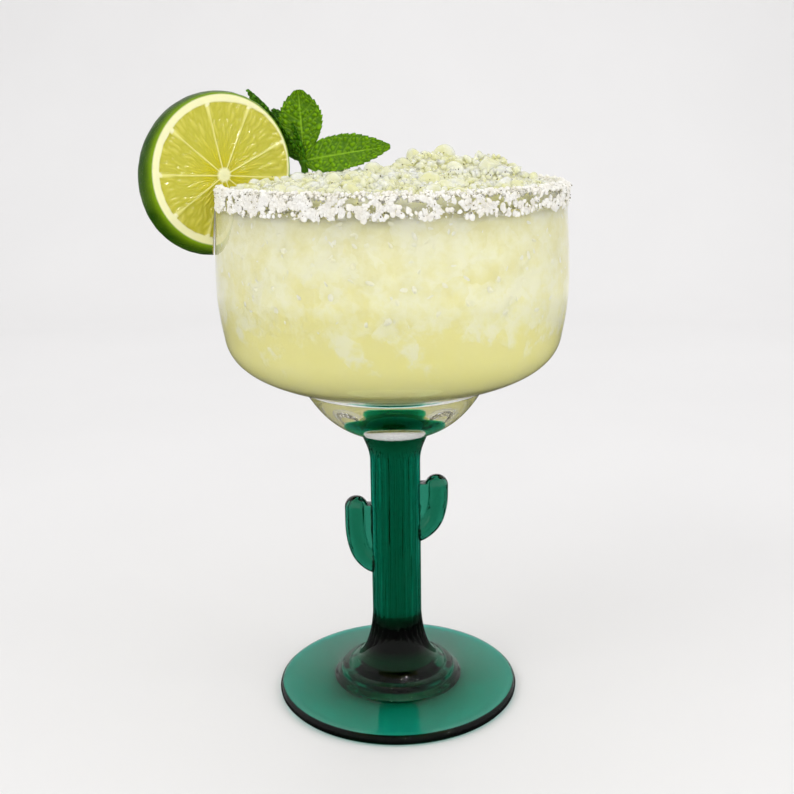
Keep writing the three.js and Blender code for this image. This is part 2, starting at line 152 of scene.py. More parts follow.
class Shell:
    """Ways of making closed skins from rows of points."""

    @staticmethod
    def angles(sides: int) -> Points:
        """The angles of evenly spaced points round a ring."""
        return np.arange(sides) * 2 * math.pi / sides

    @staticmethod
    def ring(reach: Points | float, sides: int, height: float) -> Points:
        """A level ring of points about +Z, at one radius or at one for each point."""
        angles = Shell.angles(sides)
        return np.stack([reach * np.cos(angles), reach * np.sin(angles), np.full(sides, height)], 1)

    @staticmethod
    def turned(
        profile: Points, sides: int, radius_at: Callable[[float, float, float], float] | None = None
    ) -> Skin:
        """Turns a profile of (radius, height), from axis to axis, about +Z.

        Args:
            profile: The profile's points, whose first and last lie on the axis.
            sides: How many sides the turned skin has.
            radius_at: An optional rule that gives a new radius for (radius, angle, height).

        Returns:
            The skin's points and faces.
        """
        rings = []
        for reach, height in profile[1:-1]:
            if radius_at is not None:
                reach = np.array([radius_at(reach, angle, height) for angle in Shell.angles(sides)])
            rings.append(Shell.ring(reach, sides, height))
        return Shell.domed(rings, (0, 0, profile[0][1]), (0, 0, profile[-1][1]))

    @staticmethod
    def domed(rings: Sequence[Points], first: Sequence[float], last: Sequence[float]) -> Skin:
        """A skin over rings of points, closed by a fan at each end.

        Args:
            rings: The rings, each with as many points.
            first: The point that closes the first ring.
            last: The point that closes the last ring.

        Returns:
            The skin's points and faces.
        """
        across = len(rings[0])
        faces: Faces = []
        for i in range(len(rings) - 1):
            for j in range(across):
                k = (j + 1) % across
                faces.append((i * across + j, i * across + k, (i + 1) * across + k, (i + 1) * across + j))
        low, high = across * len(rings), across * len(rings) + 1
        end = across * (len(rings) - 1)
        for j in range(across):
            k = (j + 1) % across
            faces.append((low, k, j))
            faces.append((high, end + j, end + k))
        return np.vstack([*rings, [first], [last]]), faces

    @staticmethod
    def leaflike(top: Points, bottom: Points) -> Skin:
        """A thin solid between two grids of points that share their outline's shape.

        Args:
            top: The upper face's grid, rows by lanes by 3.
            bottom: The lower face's grid, of the same form.

        Returns:
            The solid's points and faces.
        """
        rows, lanes = top.shape[:2]
        half = rows * lanes
        faces: Faces = []
        for i in range(rows - 1):
            for j in range(lanes - 1):
                a, b = i * lanes + j, i * lanes + j + 1
                c, d = a + lanes, b + lanes
                faces.append((a, b, d, c))
                faces.append((half + a, half + c, half + d, half + b))
        edge = [i * lanes for i in range(rows)]
        edge += [(rows - 1) * lanes + j for j in range(1, lanes)]
        edge += [i * lanes + lanes - 1 for i in range(rows - 2, -1, -1)]
        edge += list(range(lanes - 2, 0, -1))
        for a, b in zip(edge, edge[1:] + edge[:1]):
            faces.append((a, b, half + b, half + a))
        return np.vstack([top.reshape(-1, 3), bottom.reshape(-1, 3)]), faces


class Maker:
    """Turns points and faces into dressed pieces that ride on the body."""

    @staticmethod
    def piece(name: str, points: Points, faces: Faces, material: Material, smooth: bool = True) -> Thing:
        """Makes a mesh object from millimetre points.

        Args:
            name: The piece's name.
            points: Its points in millimetres.
            faces: Its faces.
            material: The material that it wears.
            smooth: Whether its faces are shaded smooth.

        Returns:
            The new object, linked to the scene.
        """
        mesh = bpy.data.meshes.new(name)
        mesh.from_pydata((np.asarray(points) * MM).tolist(), [], faces)
        mesh.validate()
        form = bmesh.new()
        form.from_mesh(mesh)
        bmesh.ops.recalc_face_normals(form, faces=form.faces)
        form.to_mesh(mesh)
        form.free()
        if smooth:
            mesh.shade_smooth()
        mesh.materials.append(material)
        thing = bpy.data.objects.new(name, mesh)
        bpy.context.scene.collection.objects.link(thing)
        return thing

    @staticmethod
    def attribute(thing: Thing, name: str, values: Points) -> None:
        """Stores one number for each point of a piece, for its material to read.

        Args:
            thing: The piece.
            name: The attribute's name.
            values: One value for each point.
        """
        layer = thing.data.attributes.new(name, "FLOAT", "POINT")
        layer.data.foreach_set("value", np.asarray(values, dtype=np.float32))

    @staticmethod
    def bake(thing: Thing) -> None:
        """Applies a piece's modifiers to its mesh.

        Args:
            thing: The piece.
        """
        graph = bpy.context.evaluated_depsgraph_get()
        result = bpy.data.meshes.new_from_object(thing.evaluated_get(graph))
        thing.modifiers.clear()
        old = thing.data
        thing.data = result
        bpy.data.meshes.remove(old)

    @staticmethod
    def combine(base: Thing, other: Thing, operation: str) -> None:
        """Joins or cuts a piece by another, which is then removed.

        Args:
            base: The piece that is changed.
            other: The piece that is joined to it or cut from it.
            operation: The name of the operation, UNION or DIFFERENCE.
        """
        step = base.modifiers.new("combine", "BOOLEAN")
        step.operation = operation
        step.object = other
        step.solver = "EXACT"
        Maker.bake(base)
        spent = other.data
        bpy.data.objects.remove(other)
        bpy.data.meshes.remove(spent)

    @staticmethod
    def melt(thing: Thing, voxel: float, passes: int) -> None:
        """Melts the parts of a piece into one skin with rounded creases.

        Args:
            thing: The piece.
            voxel: How fine the new skin is, in millimetres.
            passes: How many times the skin is smoothed.
        """
        skin = thing.modifiers.new("melt", "REMESH")
        skin.mode = "VOXEL"
        skin.voxel_size = voxel * MM
        soft = thing.modifiers.new("soften", "SMOOTH")
        soft.factor = 0.5
        soft.iterations = passes
        Maker.bake(thing)

    @staticmethod
    def settle(thing: Thing, slot: str, nodes: Iterable[str] = ()) -> Thing:
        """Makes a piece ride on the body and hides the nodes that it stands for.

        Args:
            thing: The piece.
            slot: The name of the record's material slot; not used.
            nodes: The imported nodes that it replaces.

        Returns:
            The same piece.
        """
        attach(thing, ROOT)
        for node in nodes:
            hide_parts(node)
        log.info("%s: %d faces", thing.name, len(thing.data.polygons))
        return thing


class Bench:
    """Places shader nodes in one tree and joins them up."""

    def __init__(self, tree: bpy.types.NodeTree) -> None:
        """Takes the tree to work on."""
        self.tree = tree

    def put(self, kind: str, inputs: dict | None = None, **settings: object) -> bpy.types.Node:
        """Adds a node.

        Args:
            kind: The node's type name.
            inputs: Values or sockets for its inputs, by name or number.
            settings: Attributes of the node itself.

        Returns:
            The new node.
        """
        node = self.tree.nodes.new(kind)
        for key, value in settings.items():
            setattr(node, key, value)
        self.dress(node, inputs or {})
        return node

    def dress(self, node: bpy.types.Node, values: dict) -> None:
        """Gives a node's inputs their values, or joins them to outputs, by name or number."""
        for key, value in values.items():
            self.feed(node.inputs[key], value)

    def feed(self, socket: Socket, value: object) -> None:
        """Gives an input a value, or joins it to an output.

        Args:
            socket: The input.
            value: Its value, or the output to join to it.
        """
        if isinstance(value, Socket):
            self.tree.links.new(value, socket)
        else:
            socket.default_value = value

    def mix(self, share: object, low: object, high: object) -> Socket:
        """Mixes two colours by a share and gives the output."""
        node = self.put("ShaderNodeMix", {0: share, 6: low, 7: high}, data_type="RGBA")
        return node.outputs[2]

    def ramp(self, value: object, low: float, high: float, bottom: float = 0.0, top: float = 1.0) -> Socket:
        """Maps a value from one range to another, held at both ends, and gives the output."""
        spans = {"Value": value, "From Min": low, "From Max": high, "To Min": bottom, "To Max": top}
        return self.put("ShaderNodeMapRange", spans).outputs["Result"]

    def reckon(self, first: object, second: object, operation: str) -> Socket:
        """Works out two numbers by a named operation and gives the output."""
        return self.put("ShaderNodeMath", {0: first, 1: second}, operation=operation).outputs[0]

    def plus(self, first: object, second: object) -> Socket:
        """Adds two numbers and gives the output."""
        return self.reckon(first, second, "ADD")

    def times(self, first: object, second: object) -> Socket:
        """Multiplies two numbers and gives the output."""
        return self.reckon(first, second, "MULTIPLY")

    def attribute(self, name: str) -> Socket:
        """Reads a number that a piece stores at its points."""
        return self.put("ShaderNodeAttribute", attribute_name=name).outputs["Fac"]

    def bump(self, height: object, strength: float, distance: float) -> Socket:
        """A normal bent by a height, in metres, and gives the output."""
        inputs = {"Height": height, "Strength": strength, "Distance": distance}
        return self.put("ShaderNodeBump", inputs).outputs["Normal"]


class Effects:
    """Shader groups that more than one finish uses, each made once."""

    made: dict[str, bpy.types.NodeTree] = {}

    @classmethod
    def group(cls, name: str, inputs: dict[str, float]) -> tuple[Bench, dict[str, Socket], bpy.types.Node]:
        """Starts a group with number inputs that puts out one share.

        Args:
            name: The group's name.
            inputs: The inputs' names with their default values.

        Returns:
            A bench on the group, its inner inputs by name, and its inner output node.
        """
        tree = bpy.data.node_groups.new(name, "ShaderNodeTree")
        for key, value in inputs.items():
            socket = tree.interface.new_socket(key, in_out="INPUT", socket_type="NodeSocketFloat")
            socket.default_value = value
        tree.interface.new_socket("Share", in_out="OUTPUT", socket_type="NodeSocketFloat")
        bench = Bench(tree)
        given = bench.put("NodeGroupInput")
        result = bench.put("NodeGroupOutput")
        cls.made[name] = tree
        return bench, {key: given.outputs[key] for key in inputs}, result

    @classmethod
    def placed(cls, bench: Bench, name: str, **values: float) -> Socket:
        """A group placed in a material with its own values.

        Args:
            bench: The bench of the material that uses it.
            name: The group's name.
            values: The inputs' values.

        Returns:
            The share's output.
        """
        node = bench.put("ShaderNodeGroup", node_tree=cls.made[name])
        for key, value in values.items():
            node.inputs[key].default_value = value
        return node.outputs["Share"]

    @classmethod
    def mottle(cls, bench: Bench, scale: float, contrast: float = 0.5, detail: float = 3.0) -> Socket:
        """Cloudy variation over the surface, from 0 to 1.

        Args:
            bench: The bench of the material that uses it.
            scale: Blotches a metre.
            contrast: How hard the blotches' edges are, from 0 to 1.
            detail: How many finer layers the blotches have.

        Returns:
            The share's output.
        """
        name = "mottle"
        if name not in cls.made:
            fresh = {"Scale": 100.0, "Contrast": 0.5, "Detail": 3.0}
            inner, given, result = cls.group(name, fresh)
            place = inner.put("ShaderNodeTexCoord").outputs["Object"]
            size = {"Vector": place, "Scale": given["Scale"], "Detail": given["Detail"]}
            cloud = inner.put("ShaderNodeTexNoise", size)
            half = inner.reckon(0.34, inner.times(given["Contrast"], 0.3), "SUBTRACT")
            spread = {
                "Value": cloud.outputs["Fac"],
                "From Min": inner.reckon(0.5, half, "SUBTRACT"),
                "From Max": inner.plus(0.5, half),
            }
            share = inner.put("ShaderNodeMapRange", spread, interpolation_type="SMOOTHSTEP")
            inner.feed(result.inputs["Share"], share.outputs["Result"])
        return cls.placed(bench, name, Scale=scale, Contrast=contrast, Detail=detail)

    @classmethod
    def shards(cls, bench: Bench, scale: float) -> Socket:
        """Broken bits with crisp, wavering edges, each bit in its own tone from 0 to 1.

        Args:
            bench: The bench of the material that uses it.
            scale: Bits a metre.

        Returns:
            The share's output.
        """
        name = "shards"
        if name not in cls.made:
            inner, given, result = cls.group(name, {"Scale": 200.0})
            place = inner.put("ShaderNodeTexCoord").outputs["Object"]
            waver = inner.put("ShaderNodeTexNoise", {"Vector": place, "Scale": given["Scale"], "Detail": 3.0})
            push = inner.put("ShaderNodeVectorMath", {0: waver.outputs["Color"], 3: 0.006}, operation="SCALE")
            moved = inner.put("ShaderNodeVectorMath", {0: place, 1: push.outputs[0]}, operation="ADD")
            bit = inner.put("ShaderNodeTexVoronoi", {"Vector": moved.outputs[0], "Scale": given["Scale"]})
            tone = inner.put("ShaderNodeSeparateColor", {0: bit.outputs["Color"]}).outputs[0]
            inner.feed(result.inputs["Share"], tone)
        return cls.placed(bench, name, Scale=scale)

    @classmethod
    def cells(cls, bench: Bench, scale: float, size: float) -> Socket:
        """Rounded beads over the surface: one at each bead's middle, falling to zero at its size.

        Args:
            bench: The bench of the material that uses it.
            scale: Beads a metre.
            size: A bead's radius as a share of its spacing.

        Returns:
            The share's output.
        """
        name = "beads"
        if name not in cls.made:
            inner, given, result = cls.group(name, {"Scale": 500.0, "Size": 0.5})
            place = inner.put("ShaderNodeTexCoord").outputs["Object"]
            bead = inner.put("ShaderNodeTexVoronoi", {"Vector": place, "Scale": given["Scale"]})
            fall = {"Value": bead.outputs["Distance"], "From Max": given["Size"], "To Min": 1.0, "To Max": 0.0}
            share = inner.put("ShaderNodeMapRange", fall, interpolation_type="SMOOTHSTEP")
            inner.feed(result.inputs["Share"], share.outputs["Result"])
        return cls.placed(bench, name, Scale=scale, Size=size)


def fresh_material(name: str) -> tuple[Material, Bench, bpy.types.Node, bpy.types.Node]:
    """A new material with one Principled shader.

    Args:
        name: The material's name.

    Returns:
        The material, a bench on its tree, the shader and the output node.
    """
    material = bpy.data.materials.new(name)
    material.use_nodes = True
    tree = material.node_tree
    tree.nodes.clear()
    bench = Bench(tree)
    shader = bench.put("ShaderNodeBsdfPrincipled")
    output = bench.put("ShaderNodeOutputMaterial", {"Surface": shader.outputs["BSDF"]})
    return material, bench, shader, output


@dataclass(frozen=True)
class GlassFinish:
    """Smooth clear or tinted glass, or a clear liquid, with the faint waviness of the real one."""

    name: str
    ior: float = 1.52
    tint: Colour | None = None
    density: float = 0.0
    wave_scale: float = 60.0
    wave_height: float = 0.00002
    shadow: Colour = (0.985, 0.985, 0.985, 1.0)
    mirror: Colour = WHITE
    streak_height: float = 0.0
    streak_scale: float = 700.0
    streak_start: Span = (0.024, 0.034)

    def relief(self, bench: Bench) -> Socket:
        """Gives the glass's height: faint waves, and above the foot the upright streaks of pressing.

        Args:
            bench: The bench of the material that uses it.

        Returns:
            The output of the height, in metres.
        """
        wave = Effects.mottle(bench, self.wave_scale, contrast=0.0, detail=1.0)
        wave = bench.times(wave, self.wave_height)
        if not self.streak_height:
            return wave
        place = bench.put("ShaderNodeTexCoord").outputs["Object"]
        height = bench.put("ShaderNodeSeparateXYZ", {0: place}).outputs["Z"]
        drawn = bench.put("ShaderNodeMapping", {"Vector": place, "Scale": (1.0, 1.0, 0.04)}).outputs[0]
        fine = bench.put("ShaderNodeTexNoise", {"Vector": drawn, "Scale": self.streak_scale, "Detail": 1.0})
        depth = bench.ramp(height, *self.streak_start, 0.0, self.streak_height)
        return bench.plus(wave, bench.times(fine.outputs[0], depth))

    def build(self) -> Material:
        """Makes the material, which vanishes where two glasses are fused, and casts only a light shadow.

        Returns:
            The new material.
        """
        material, bench, shader, output = fresh_material(self.name)
        values = {
            "Base Color": WHITE,
            "Roughness": 0.0,
            "IOR": self.ior,
            "Transmission Weight": 1.0,
            "Specular Tint": self.mirror,
            "Normal": bench.bump(self.relief(bench), 1.0, 1.0),
        }
        bench.dress(shader, values)
        shade = bench.put("ShaderNodeBsdfTransparent", {"Color": self.shadow}).outputs[0]
        passing = bench.put("ShaderNodeLightPath").outputs["Is Shadow Ray"]
        lit = bench.put("ShaderNodeMixShader", {0: passing, 1: shader.outputs["BSDF"], 2: shade}).outputs[0]
        clear = bench.put("ShaderNodeBsdfTransparent").outputs[0]
        fused = bench.attribute("fused")
        skin = bench.put("ShaderNodeMixShader", {0: fused, 1: lit, 2: clear}).outputs[0]
        bench.feed(output.inputs["Surface"], skin)
        if self.tint is not None:
            depth = bench.put("ShaderNodeVolumeAbsorption", {"Color": self.tint, "Density": self.density})
            bench.feed(output.inputs["Volume"], depth.outputs["Volume"])
        return material


@dataclass(frozen=True)
class SlushFinish:
    """Cloudy slush: whitish patches of ice above, smooth and yellower towards the bottom of the bowl, and
    brighter there as painted light.
    """

    name: str
    icy: Colour
    liquid: Colour
    deep_and_fill_light: Colour
    low: float = 0.136
    blend: float = 0.008
    gloss: float = 0.0
    softness: float = 0.012

    def build(self) -> Material:
        """Makes the material.

        Returns:
            The new material.
        """
        material, bench, shader, _ = fresh_material(self.name)
        broad = Effects.mottle(bench, 55.0, contrast=0.2, detail=2.0)
        blotch = Effects.mottle(bench, 170.0, contrast=0.35, detail=4.0)
        fluff = Effects.mottle(bench, 620.0, contrast=0.3, detail=2.0)
        shards = Effects.shards(bench, 150.0)
        small = Effects.shards(bench, 420.0)
        soft = bench.plus(bench.times(broad, 0.3), bench.times(blotch, 0.3))
        crisp = bench.plus(bench.times(shards, 0.22), bench.times(small, 0.1))
        cloud = bench.plus(bench.plus(soft, crisp), bench.times(fluff, 0.12))
        place = bench.put("ShaderNodeTexCoord").outputs["Object"]
        height = bench.put("ShaderNodeSeparateXYZ", {0: place}).outputs["Z"]
        drift = bench.ramp(broad, 0.0, 1.0, -0.006, 0.006)
        edge = bench.plus(drift, bench.ramp(cloud, 0.2, 0.8, -0.009, 0.009))
        ice = bench.ramp(bench.plus(height, edge), self.low, self.low + self.blend)
        # Lower down the colour turns to the deep one: yellower like the drink itself, and brighter as painted
        # light for the dim underside.
        lift = bench.ramp(height, 0.12, 0.165)
        ground = bench.mix(lift, self.deep_and_fill_light, self.liquid)
        whiteness = bench.times(ice, bench.ramp(cloud, 0.3, 0.68, 0.1, 1.0))
        haze = bench.reckon(bench.times(blotch, 0.12), whiteness, "MAXIMUM")
        values = {
            "Base Color": bench.mix(haze, ground, self.icy),
            "Roughness": bench.ramp(fluff, 0.0, 1.0, 0.4, 0.6),
            "Specular IOR Level": self.gloss,
            "Subsurface Weight": 0.8,
            "Subsurface Radius": (1.0, 1.0, 0.7),
            "Subsurface Scale": self.softness,
            "Normal": bench.bump(bench.times(cloud, ice), 0.35, 0.0008),
        }
        bench.dress(shader, values)
        return material


@dataclass(frozen=True)
class IceFinish:
    """Wet crushed ice: cloudy, partly clear, with a faint yellow-green from the drink."""

    name: str
    pale: Colour
    stained: Colour
    clearness: float = 0.4
    roughness: float = 0.14
    gloss: float = 0.5
    cloudiness: float = 0.7
    softness: float = 0.0006

    def build(self) -> Material:
        """Makes the material.

        Returns:
            The new material.
        """
        material, bench, shader, _ = fresh_material(self.name)
        stain = Effects.mottle(bench, 170.0, contrast=0.5)
        frost = Effects.mottle(bench, 900.0, contrast=0.4)
        values = {
            "Base Color": bench.mix(stain, self.pale, self.stained),
            "Roughness": bench.ramp(frost, 0.0, 1.0, self.roughness * 0.4, self.roughness * 1.7),
            "IOR": 1.31,
            "Specular IOR Level": self.gloss,
            "Transmission Weight": self.clearness,
            "Subsurface Weight": self.cloudiness,
            "Subsurface Radius": (1.0, 1.0, 0.85),
            "Subsurface Scale": self.softness,
            "Normal": bench.bump(frost, 0.4, 0.00025),
        }
        bench.dress(shader, values)
        return material


@dataclass(frozen=True)
class SaltFinish:
    """Coarse white salt: soft, bright and slightly uneven in tone."""

    name: str
    white: Colour
    shade: Colour

    def build(self) -> Material:
        """Makes the material.

        Returns:
            The new material.
        """
        material, bench, shader, _ = fresh_material(self.name)
        tone = Effects.mottle(bench, 260.0, contrast=0.5)
        grain = Effects.cells(bench, 1600.0, 0.7)
        values = {
            "Base Color": bench.mix(tone, self.white, self.shade),
            "Roughness": bench.ramp(grain, 0.0, 1.0, 0.55, 0.3),
            "Subsurface Weight": 0.3,
            "Subsurface Radius": (0.0003, 0.0003, 0.0003),
            "Subsurface Scale": 1.0,
            "Specular IOR Level": 0.3,
            "Normal": bench.bump(grain, 0.4, 0.00012),
        }
        bench.dress(shader, values)
        return material


@dataclass(frozen=True)
class SpeckFinish:
    """Dark flecks of spice caught in the salt and the ice."""

    name: str
    dark: Colour
    pale: Colour

    def build(self) -> Material:
        """Makes the material.

        Returns:
            The new material.
        """
        material, bench, shader, _ = fresh_material(self.name)
        tone = Effects.mottle(bench, 300.0, contrast=0.8)
        values = {
            "Base Color": bench.mix(tone, self.dark, self.pale),
            "Roughness": bench.ramp(tone, 0.0, 1.0, 0.5, 0.8),
        }
        bench.dress(shader, values)
        return material


@dataclass(frozen=True)
class LimeFinish:
    """A cut lime: juicy flesh, pale membranes, cream pith and waxy green rind."""

    name: str = "lime"
    flesh: Colour = srgb(214, 207, 84)
    heart: Colour = srgb(222, 209, 24)
    # The darker colour painted into the hollows between the juice sacs, as shade.
    sac: Colour = srgb(188, 184, 44)
    membrane: Colour = srgb(238, 232, 140)
    pith: Colour = srgb(247, 244, 196)
    rind: Colour = srgb(22, 62, 0)
    rind_edge: Colour = srgb(118, 152, 12)

    def build(self) -> Material:
        """Makes the material.

        Returns:
            The new material.
        """
        material, bench, shader, _ = fresh_material(self.name)
        sacs = bench.attribute("sac")
        inner = bench.mix(bench.attribute("heart"), self.flesh, self.heart)
        # Where the sac relief is low, between the juice sacs, the flesh turns to the darker sac colour: painted
        # shade in the hollows.
        juicy = bench.mix(bench.ramp(sacs, 0.0, 1.0, 0.0, 0.75), inner, self.sac)
        veined = bench.mix(bench.attribute("membrane"), juicy, self.membrane)
        faced = bench.mix(bench.attribute("pith"), veined, self.pith)
        blush = Effects.mottle(bench, 120.0, contrast=0.2)
        skin = bench.mix(bench.ramp(blush, 0.0, 1.0, 0.0, 0.2), self.rind, self.rind_edge)
        edged = bench.mix(bench.attribute("edge"), skin, self.rind_edge)
        peel = bench.attribute("peel")
        pores = Effects.cells(bench, 900.0, 0.42)
        wet = bench.ramp(bench.attribute("pith"), 0.0, 1.0, 0.16, 0.5)
        values = {
            "Base Color": bench.mix(peel, faced, edged),
            "Roughness": bench.plus(wet, bench.ramp(peel, 0.0, 1.0, 0.0, 0.12)),
            "Subsurface Weight": 0.35,
            "Subsurface Radius": (0.003, 0.0028, 0.001),
            "Subsurface Scale": 1.0,
            "Specular IOR Level": 0.1,
            "Coat Weight": bench.ramp(peel, 0.0, 1.0, 0.5, 0.0),
            "Coat Roughness": 0.12,
            "Normal": bench.bump(bench.plus(bench.times(pores, peel), sacs), 0.6, -0.00016),
        }
        bench.dress(shader, values)
        return material


@dataclass(frozen=True)
class LeafFinish:
    """Fresh mint: quilted green with paler veins, lighter on the puckers as painted highlight and darker in the
    folds as painted shade.
    """

    name: str
    blade_and_highlight: Colour
    crease_shade_and_tone: Colour
    vein: Colour

    def build(self) -> Material:
        """Makes the material.

        Returns:
            The new material.
        """
        material, bench, shader, _ = fresh_material(self.name)
        patch = Effects.mottle(bench, 220.0, contrast=0.3)
        grain = Effects.cells(bench, 1900.0, 0.6)
        quilt = bench.attribute("quilt")
        # The quilting mask paints shade into the creases and a highlight onto the puckers; the random patches
        # below also lean to the darker colour.
        ground = bench.mix(quilt, self.crease_shade_and_tone, self.blade_and_highlight)
        toned = bench.mix(bench.ramp(patch, 0.0, 1.0, 0.0, 0.35), ground, self.crease_shade_and_tone)
        values = {
            "Base Color": bench.mix(bench.attribute("vein"), toned, self.vein),
            "Roughness": bench.ramp(grain, 0.0, 1.0, 0.5, 0.34),
            "Subsurface Weight": 0.15,
            "Subsurface Radius": (0.0008, 0.0012, 0.0003),
            "Subsurface Scale": 1.0,
            "Specular IOR Level": 0.12,
            "Normal": bench.bump(grain, 0.4, 0.0001),
        }
        bench.dress(shader, values)
        return material


@dataclass
class Glassware:
    """The clear bowl with the button under it, and the green cactus stem with its foot and arms."""

    rim_height: float
    bowl_radius: float
    foot_radius: float
    stem_top: float
    sides: int = 200
    wall: float = 2.0
    ribs: int = 24
    rib_depth: float = 0.7
    stem_radius: float = 8.8
    stem_top_radius: float = 11.9
    pocket: float = 7.3
    limb_radius: float = 4.1
    limb_flatness: float = 0.82
    web_thickness: float = 5.0
    groove_spacing: float = 1.55
    groove_depth: float = 0.24
    arm_grain: float = 0.35
    arm_smoothing: int = 5
    bubble_radius: float = 7.2
    bubble_height: float = 106.9
    bubble_thickness: float = 0.5

    @property
    def rim_radius(self) -> float:
        """The outer radius at the lip."""
        return self.bowl_radius - 1.7

    @property
    def joint(self) -> float:
        """The height of the joint between the two glasses."""
        return self.stem_top + 0.3

    def inner_line(self, inset: float, steps: int = 1) -> Points:
        """The inside of the wall, from the lip down to the axis.

        Args:
            inset: How far inside the wall the line runs; a negative number reaches into the wall.
            steps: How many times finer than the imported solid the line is.

        Returns:
            The line's (radius, height) points.
        """
        lip = (self.rim_radius - self.wall, self.rim_height - 1.4)
        widest = (self.bowl_radius - 2.2, 151)
        shoulder = (54.4, 133)
        line = np.vstack([
            [lip],
            bend(lip, (55.8, 171), (56.6, 160), widest, 4 * steps),
            bend(widest, (56.6, 145), (55.6, 138.5), shoulder, 3 * steps),
            bend(shoulder, (53.4, 121.4), (36, 116.6), (0, 116.6), 8 * steps),
        ])
        return np.stack([np.maximum(line[:, 0] - inset, 0), line[:, 1] + inset], 1)

    def outer_line(self) -> Points:
        """The outside of the bowl, from the joint with the stem up to the lip.

        Returns:
            The line's (radius, height) points.
        """
        joint = (self.stem_top_radius + 0.4, self.joint)
        waist, shoulder = (31.4, 113.9), (56.9, 133)
        widest = (self.bowl_radius, 151)
        lip = (self.rim_radius, self.rim_height - 1.4)
        return np.vstack([
            [joint],
            bend(joint, (21, 99.5), (26.5, 105), waist, 20),
            bend(waist, (43.5, 117.6), (55.6, 121.2), shoulder, 24),
            bend(shoulder, (58, 138.5), (self.bowl_radius, 144.5), widest, 10),
            bend(widest, (self.bowl_radius, 160), (57.9, 171), lip, 14),
        ])

    def mark_fused(self, thing: Thing, points: Points, height: float) -> None:
        """Marks where the two glasses are fused, all round the pocket of air in the middle of the joint.

        Args:
            thing: The piece of glass.
            points: Its points in millimetres.
            height: The height of its face at the joint.
        """
        radius = np.hypot(points[:, 0], points[:, 1])
        level = np.abs(points[:, 2] - height) < 0.01
        ring = (radius > self.pocket + 0.005) & (radius < self.stem_top_radius - 0.005)
        Maker.attribute(thing, "fused", level & ring)

    def build_bowl(self, finish: GlassFinish) -> Thing:
        """Makes the clear bowl as one turned body of glass.

        Args:
            finish: The finish that it wears.

        Returns:
            The bowl.
        """
        turn = np.linspace(0, math.pi, 9)[1:-1]
        middle, reach = self.rim_radius - self.wall / 2, self.wall / 2
        lip = np.stack([middle + reach * np.cos(turn), self.rim_height - 1.4 + 1.4 * np.sin(turn)], 1)
        radii = (0, self.pocket, self.pocket + 0.01, self.stem_top_radius - 0.01, self.stem_top_radius)
        base = [(radius, self.joint) for radius in radii]
        profile = np.vstack([base, self.outer_line(), lip, self.inner_line(0, steps=4)])
        points, faces = Shell.turned(profile, self.sides)
        bowl = Maker.piece("bowl_glass", points, faces, finish.build())
        self.mark_fused(bowl, points, self.joint)
        return Maker.settle(bowl, "clear_glass", ["bowl"])

    def rib(self, radius: float, angle: float, height: float) -> float:
        """The stem's radius once its ribs are pressed in.

        Args:
            radius: The plain turned radius.
            angle: The angle about the axis.
            height: The height above the table.

        Returns:
            The ribbed radius.
        """
        if radius > 14 or radius < 8:
            return radius
        fade = float(smoothstep(15, 28, height) * (1 - smoothstep(87, 94, height)))
        groove = (1 - abs(math.cos(angle * self.ribs / 2))) ** 1.6
        return radius - self.rib_depth * groove * fade

    def build_stem(self, finish: GlassFinish) -> Thing:
        """Makes the green foot and ribbed trunk as one turned body of glass.

        Args:
            finish: The finish that it wears.

        Returns:
            The foot and the trunk.
        """
        foot, top = self.foot_radius, self.joint + 0.05
        rim_top, foot_top, step = (foot - 3.0, 3.0), (23.2, 4.9), (21.6, 6.3)
        dome, valley, shoulder = (20.6, 7.3), (17.7, 9.2), (14.4, 11.8)
        trunk_foot, trunk_head = (self.stem_radius, 29), (self.stem_radius, 86)
        rim = [(foot - 1.6, 0), (foot - 0.7, 0.25), (foot - 0.15, 0.9), (foot, 1.7), (foot - 0.25, 2.5)]
        rim += [(foot - 0.8, 3.0), (foot - 1.6, 3.2), (foot - 2.3, 3.15), rim_top]
        seat = [(self.stem_top_radius - 0.01, top), (self.pocket + 0.01, top), (self.pocket, top)]
        pocket = [(6.6, top - 0.9), (3, top - 1.3), (0, top - 1.4)]
        profile = np.vstack([
            [(0, 0), (20, 0), (36, 0)],
            rim,
            bend(rim_top, (31, 3.7), (26, 4.2), foot_top, 20),
            bend(foot_top, (22.6, 5.1), (22.4, 6.1), step, 5),
            bend(step, (21.1, 6.4), (20.8, 6.8), dome, 3),
            bend(dome, (20.4, 8.6), (19.2, 9.2), valley, 8),
            bend(valley, (17.3, 10.3), (16.0, 11.3), shoulder, 8),
            bend(shoulder, (12.0, 14.2), (9.3, 19.5), trunk_foot, 24),
            [(self.stem_radius, height) for height in np.linspace(29, 86, 24)[1:]],
            bend(trunk_head, (8.8, 90), (10.4, 93), (self.stem_top_radius, top), 12),
            seat,
            pocket,
        ])
        points, faces = Shell.turned(profile, self.ribs * 10, self.rib)
        stem = Maker.piece("stem_glass", points, faces, finish.build())
        self.mark_fused(stem, points, top)
        return Maker.settle(stem, "green_glass", ["stem"])

    def build_tier(self, finish: GlassFinish) -> Thing:
        """Makes the stepped green head of the stem, sunk in the clear button and fused with it.

        Args:
            finish: The finish that it wears.

        Returns:
            The head.
        """
        line = [(0, 107.6), (11.2, 107.6), (11.8, 108.3), (11.4, 109.2), (9, 110.0), (7, 110.2), (6.4, 110.8)]
        line += [(7.0, 112.0), (6.9, 113.0), (6, 113.6), (0, 113.8)]
        points, faces = Shell.turned(np.array(line), 96)
        tier = Maker.piece("stem_head", points, faces, finish.build())
        Maker.attribute(tier, "fused", np.ones(len(points)))
        return Maker.settle(tier, "green_glass", ["stem"])

